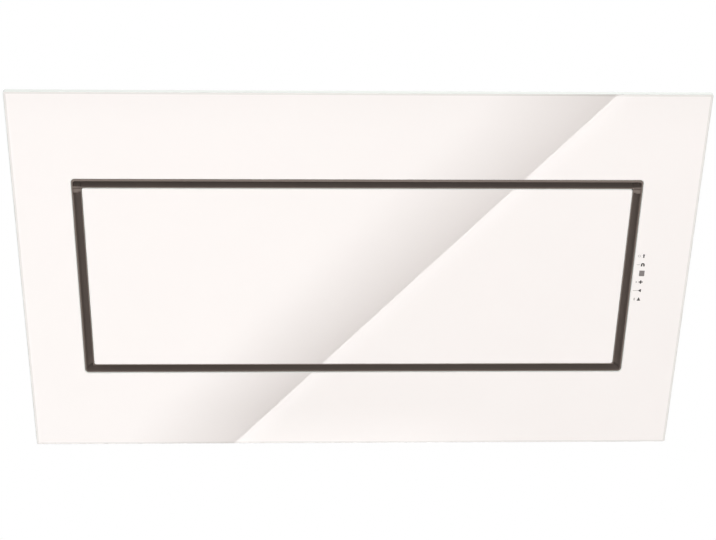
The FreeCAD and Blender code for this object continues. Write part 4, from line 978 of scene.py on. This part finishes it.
class HOOD_OT_stage(bpy.types.Operator):
    """Sets the camera, the pale floor, the soft light and the card that the glass mirrors"""

    bl_idname = "hood.stage"
    bl_label = "Stage"

    # Soft lamps: width and height, place, and the point that both face
    key_size, key_place = (0.7, 0.6), (-0.02, -3.1, -0.12)
    top_size, top_place = (2.4, 1.6), (0.6, -0.6, 2.6)
    lamp_aim = (0, -0.2, 0)

    # Floor: shares of its radius where it starts and ends to fade, how white it is before, tone of its fibre
    fade_start, fade_end, fade_least = 0.35, 0.95, 0.4
    fibre_tone = 0.985

    # Card, in metres across and up from the foot of the glass, with light as a share of its brightness: its
    # distance from the glass, its soft edge, its middle and half its size
    card_away, card_edge = 0.30, 0.05
    card_middle, card_half = Vector((0.015, 0.095, 0)), Vector((0.605, 0.385, 0))
    # Where the ends of the fold show in the glass, and how wide and how steep the shade left of it is
    fold_top, fold_foot = (0.3267, 0.544), (-0.1665, 0.0044)
    shade_width, shade_power = 0.1205, 0.79
    # The bright rim right of the fold
    rim_width, rim_light = 0.03, 0.2
    # Light left and right of the fold, and its change across and up
    left_light, right_light = (0.953, (-0.255, -0.212, 0)), (0.854, (-0.067, 0.028, 0))
    # Where up the card its foot gets more light, near the middle only, and its head gets less
    foot_run, head_run = (-0.15, -0.219), (0.36, 0.413)
    foot_light, head_light = 0.24, -0.1
    foot_middle, foot_near, foot_far = -0.04, 0.12, 0.38
    # Slant at which the grid starts and ends to close
    grid_open, grid_shut = 0.25, 0.36

    def camera(self, scene, stage):
        data = bpy.data.cameras.new("photo_camera")
        data.sensor_fit, data.sensor_width, data.lens = "HORIZONTAL", 36, stage.camera_lens
        data.clip_start, data.clip_end = 0.05, 60
        camera = placed("photo_camera", data)
        camera.location = stage.camera_place
        camera.rotation_euler = (math.pi / 2, 0, -stage.camera_turn)
        scene.camera = camera

    def seen_directly(self, add):
        """1 for rays from the camera, a mirror face or through a clear piece, else 0."""
        path = add("LightPath")
        either = add("Math", {0: path["Is Camera Ray"], 1: path["Is Glossy Ray"]}, operation="MAXIMUM")[0]
        return add("Math", {0: either, 1: path["Is Transmission Ray"]}, operation="MAXIMUM")[0]

    def world(self, scene, stage):
        scene.world = bpy.data.worlds.new("white_room")
        add = empty_tree(scene.world)
        white = add("Background", {"Color": WHITE, "Strength": 1.0})[0]
        room = add("Background", {"Color": WHITE, "Strength": stage.room_light})[0]
        both = add("MixShader", {0: self.seen_directly(add), 1: room, 2: white})[0]
        add("OutputWorld", {"Surface": both})

    def staged(self, name, points, material):
        shape = bmesh.new()
        shape.faces.new([shape.verts.new(p) for p in points])
        staged = mesh_object(name, shape, material)
        return staged

    def floor(self, stage, colours):
        """Matt paper floor that fades into the white room and is clear from below."""
        material = bpy.data.materials.new("matt_studio_paper")
        add = empty_tree(material)
        place = add("TexCoord")["Object"]
        far = add("VectorMath", {0: place, 1: (0, 0, -stage.floor_drop)}, operation="DISTANCE")["Value"]
        start, end = stage.floor_radius * self.fade_start, stage.floor_radius * self.fade_end
        reach = {0: far, 1: start, 2: end, 3: self.fade_least}
        fade = add("MapRange", reach, interpolation_type="SMOOTHSTEP")[0]
        fibre = add("TexNoise", {"Vector": place, "Scale": per_mm(300), "Detail": 2.0})[0]
        deep = [part * self.fibre_tone for part in colours.floor]
        tone = add("Mix", {0: fibre, 6: rgba(colours.floor), 7: rgba(deep)}, data_type="RGBA")[2]
        paper = add("BsdfDiffuse", {"Color": tone})[0]
        white = add("Emission", {"Color": WHITE, "Strength": 1.0})[0]
        share = add("Math", {0: fade, 1: self.seen_directly(add)}, operation="MULTIPLY")[0]
        faded = add("MixShader", {0: share, 1: paper, 2: white})[0]
        clear = add("BsdfTransparent")[0]
        behind = add("NewGeometry")["Backfacing"]
        add("OutputMaterial", {"Surface": add("MixShader", {0: behind, 1: faded, 2: clear})[0]})
        rim = ring_points(stage.floor_radius, stage.floor_sides)
        self.staged("floor", [(x, y, -stage.floor_drop) for x, y in rim], material)

    def card_shine(self, add, place, grow, fold, left):
        """Light over the card: shaded left of the fold, rimmed right of it, changed at its foot and head."""
        from_fold = add("VectorMath", {0: place, 1: fold}, operation="SUBTRACT")[0]
        side = add("VectorMath", {0: from_fold, 1: left}, operation="DOT_PRODUCT")["Value"]
        shares = []
        for level, slope in (self.left_light, self.right_light):
            lean = add("VectorMath", {0: place, 1: slope}, operation="DOT_PRODUCT")["Value"]
            shares.append(add("Math", {0: lean, 1: level}, operation="ADD")[0])
        ramp = add("MapRange", {0: side, 1: 0.0, 2: self.shade_width * grow})[0]
        soft = add("Math", {0: ramp, 1: self.shade_power}, operation="POWER")[0]
        shaded = add("Math", {0: shares[0], 1: soft}, operation="MULTIPLY")[0]
        rim = add("MapRange", {0: side, 1: -self.rim_width, 2: 0.0, 3: 0.0, 4: self.rim_light})[0]
        rimmed = add("Math", {0: shares[1], 1: rim}, operation="ADD")[0]
        right = add("Math", {0: side, 1: 0.0}, operation="LESS_THAN")[0]
        even = add("MapRange", {0: right, 3: shaded, 4: rimmed})[0]
        ways = add("SeparateXYZ", {0: place})
        from_middle = add("Math", {0: ways["X"], 1: self.foot_middle}, operation="SUBTRACT")[0]
        aside = add("Math", {0: from_middle}, operation="ABSOLUTE")[0]
        bounds = {0: aside, 1: self.foot_near, 2: self.foot_far, 3: self.foot_light, 4: 0.0}
        spread = add("MapRange", bounds, interpolation_type="SMOOTHSTEP")[0]
        ends = [
            add("MapRange", {0: ways["Y"], 1: start, 2: end, 3: 0.0, 4: light})[0]
            for start, end, light in ((*self.foot_run, spread), (*self.head_run, self.head_light))
        ]
        change = add("Math", {0: ends[0], 1: ends[1]}, operation="ADD")[0]
        return add("Math", {0: even, 1: change}, operation="ADD")[0]

    def card(self, stage):
        """Gridded light card in front of the glass, seen only in the panes. A dark fold runs across it."""
        eye = Vector(stage.camera_place) - PANEL_FOOT
        high, out = eye.dot(PANEL_UP), eye.dot(PANEL_OUT)
        grow = (out + self.card_away) / out

        def mirrored(across, up):
            """Point of the card that the camera sees in the glass at that place."""
            return Vector((eye.x + grow * (across - eye.x), high + grow * (up - high), 0))

        upper, lower = mirrored(*self.fold_top), mirrored(*self.fold_foot)
        run = (upper - lower).normalized()
        material = bpy.data.materials.new("mirror_card")
        add = empty_tree(material)
        place = add("TexCoord")["Object"]
        shine = self.card_shine(add, place, grow, lower, Vector((-run.y, run.x, 0)))
        slant = add("LayerWeight", {"Blend": 0.5})["Facing"]
        closing = {0: slant, 1: self.grid_open, 2: self.grid_shut, 3: stage.card_light, 4: 0.0}
        grid = add("MapRange", closing)[0]
        from_centre = add("VectorMath", {0: place, 1: self.card_middle}, operation="SUBTRACT")[0]
        reach = add("VectorMath", {0: from_centre}, operation="ABSOLUTE")[0]
        room = add("VectorMath", {0: self.card_half, 1: reach}, operation="SUBTRACT")[0]
        rooms = add("SeparateXYZ", {0: room})
        near = add("Math", {0: rooms["X"], 1: rooms["Y"]}, operation="MINIMUM")[0]
        fade = add("MapRange", {0: near, 1: 0.0, 2: self.card_edge}, interpolation_type="SMOOTHSTEP")[0]
        faded = add("Math", {0: shine, 1: fade}, operation="MULTIPLY")[0]
        strength = add("Math", {0: faded, 1: grid}, operation="MULTIPLY")[0]
        glow = add("Emission", {"Color": WHITE, "Strength": strength})[0]
        clear = add("BsdfTransparent")[0]
        add("OutputMaterial", {"Surface": add("AddShader", {0: glow, 1: clear})[0]})
        low, high = self.card_middle - self.card_half, self.card_middle + self.card_half
        corners = [(x, y, 0) for x, y in box_points(low.x, high.x, low.y, high.y)]
        card = self.staged("mirror_card", corners, material)
        panes = bpy.data.collections.new("glass_panes")
        for pane in ("outer_glass", "door_glass"):
            panes.objects.link(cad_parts[pane])
        card.light_linking.receiver_collection = panes
        turn = Matrix((PANEL_ACROSS, PANEL_UP, PANEL_OUT)).transposed().to_4x4()
        card.matrix_world = Matrix.Translation(on_panel(0, 0, self.card_away)) @ turn
        card.visible_camera = card.visible_diffuse = card.visible_shadow = False
        card.visible_transmission = card.visible_volume_scatter = False

    def lamp(self, name, power, size, place):
        data = bpy.data.lights.new(name, "AREA")
        data.energy, data.shape, data.size, data.size_y = power, "RECTANGLE", *size
        lamp = placed(name, data)
        lamp.location = place
        lamp.rotation_euler = (Vector(self.lamp_aim) - Vector(place)).to_track_quat("-Z", "Y").to_euler()
        lamp.visible_camera = lamp.visible_glossy = False

    def execute(self, context):
        scene = context.scene
        stage = scene.hood_stage
        scene.view_settings.view_transform = "Standard"
        self.camera(scene, stage)
        self.world(scene, stage)
        self.floor(stage, scene.hood_colours)
        self.card(stage)
        self.lamp("key_softbox", stage.key_light, self.key_size, self.key_place)
        self.lamp("top_softbox", stage.top_light, self.top_size, self.top_place)
        return {"FINISHED"}


OPERATORS = (
    HOOD_OT_glass,
    HOOD_OT_key_marks,
    HOOD_OT_intake,
    HOOD_OT_filters,
    HOOD_OT_hinges,
    HOOD_OT_casing,
    HOOD_OT_screws,
    HOOD_OT_outlet,
    HOOD_OT_blower,
    HOOD_OT_electrics,
    HOOD_OT_lamps,
    HOOD_OT_stage,
)


class VIEW3D_PT_hood(bpy.types.Panel):
    """Lists the steps that dress the hood"""

    bl_label = "Wall Range Hood"
    bl_idname = "VIEW3D_PT_hood"
    bl_space_type = "VIEW_3D"
    bl_region_type = "UI"
    bl_category = "Hood"

    def draw(self, context):
        column = self.layout.column(align=True)
        for operator in OPERATORS:
            column.operator(operator.bl_idname)


CLASSES = (HoodColours, HoodSizes, HoodStage, *OPERATORS, VIEW3D_PT_hood)


def register():
    for cls in CLASSES:
        bpy.utils.register_class(cls)
    bpy.types.Scene.hood_colours = PointerProperty(type=HoodColours)
    bpy.types.Scene.hood_sizes = PointerProperty(type=HoodSizes)
    bpy.types.Scene.hood_stage = PointerProperty(type=HoodStage)


def unregister():
    del bpy.types.Scene.hood_stage, bpy.types.Scene.hood_sizes, bpy.types.Scene.hood_colours
    for cls in reversed(CLASSES):
        bpy.utils.unregister_class(cls)


def main():
    register()
    for operator in OPERATORS:
        getattr(bpy.ops.hood, operator.bl_idname.split(".")[1])()


if __name__ == "__main__":
    main()
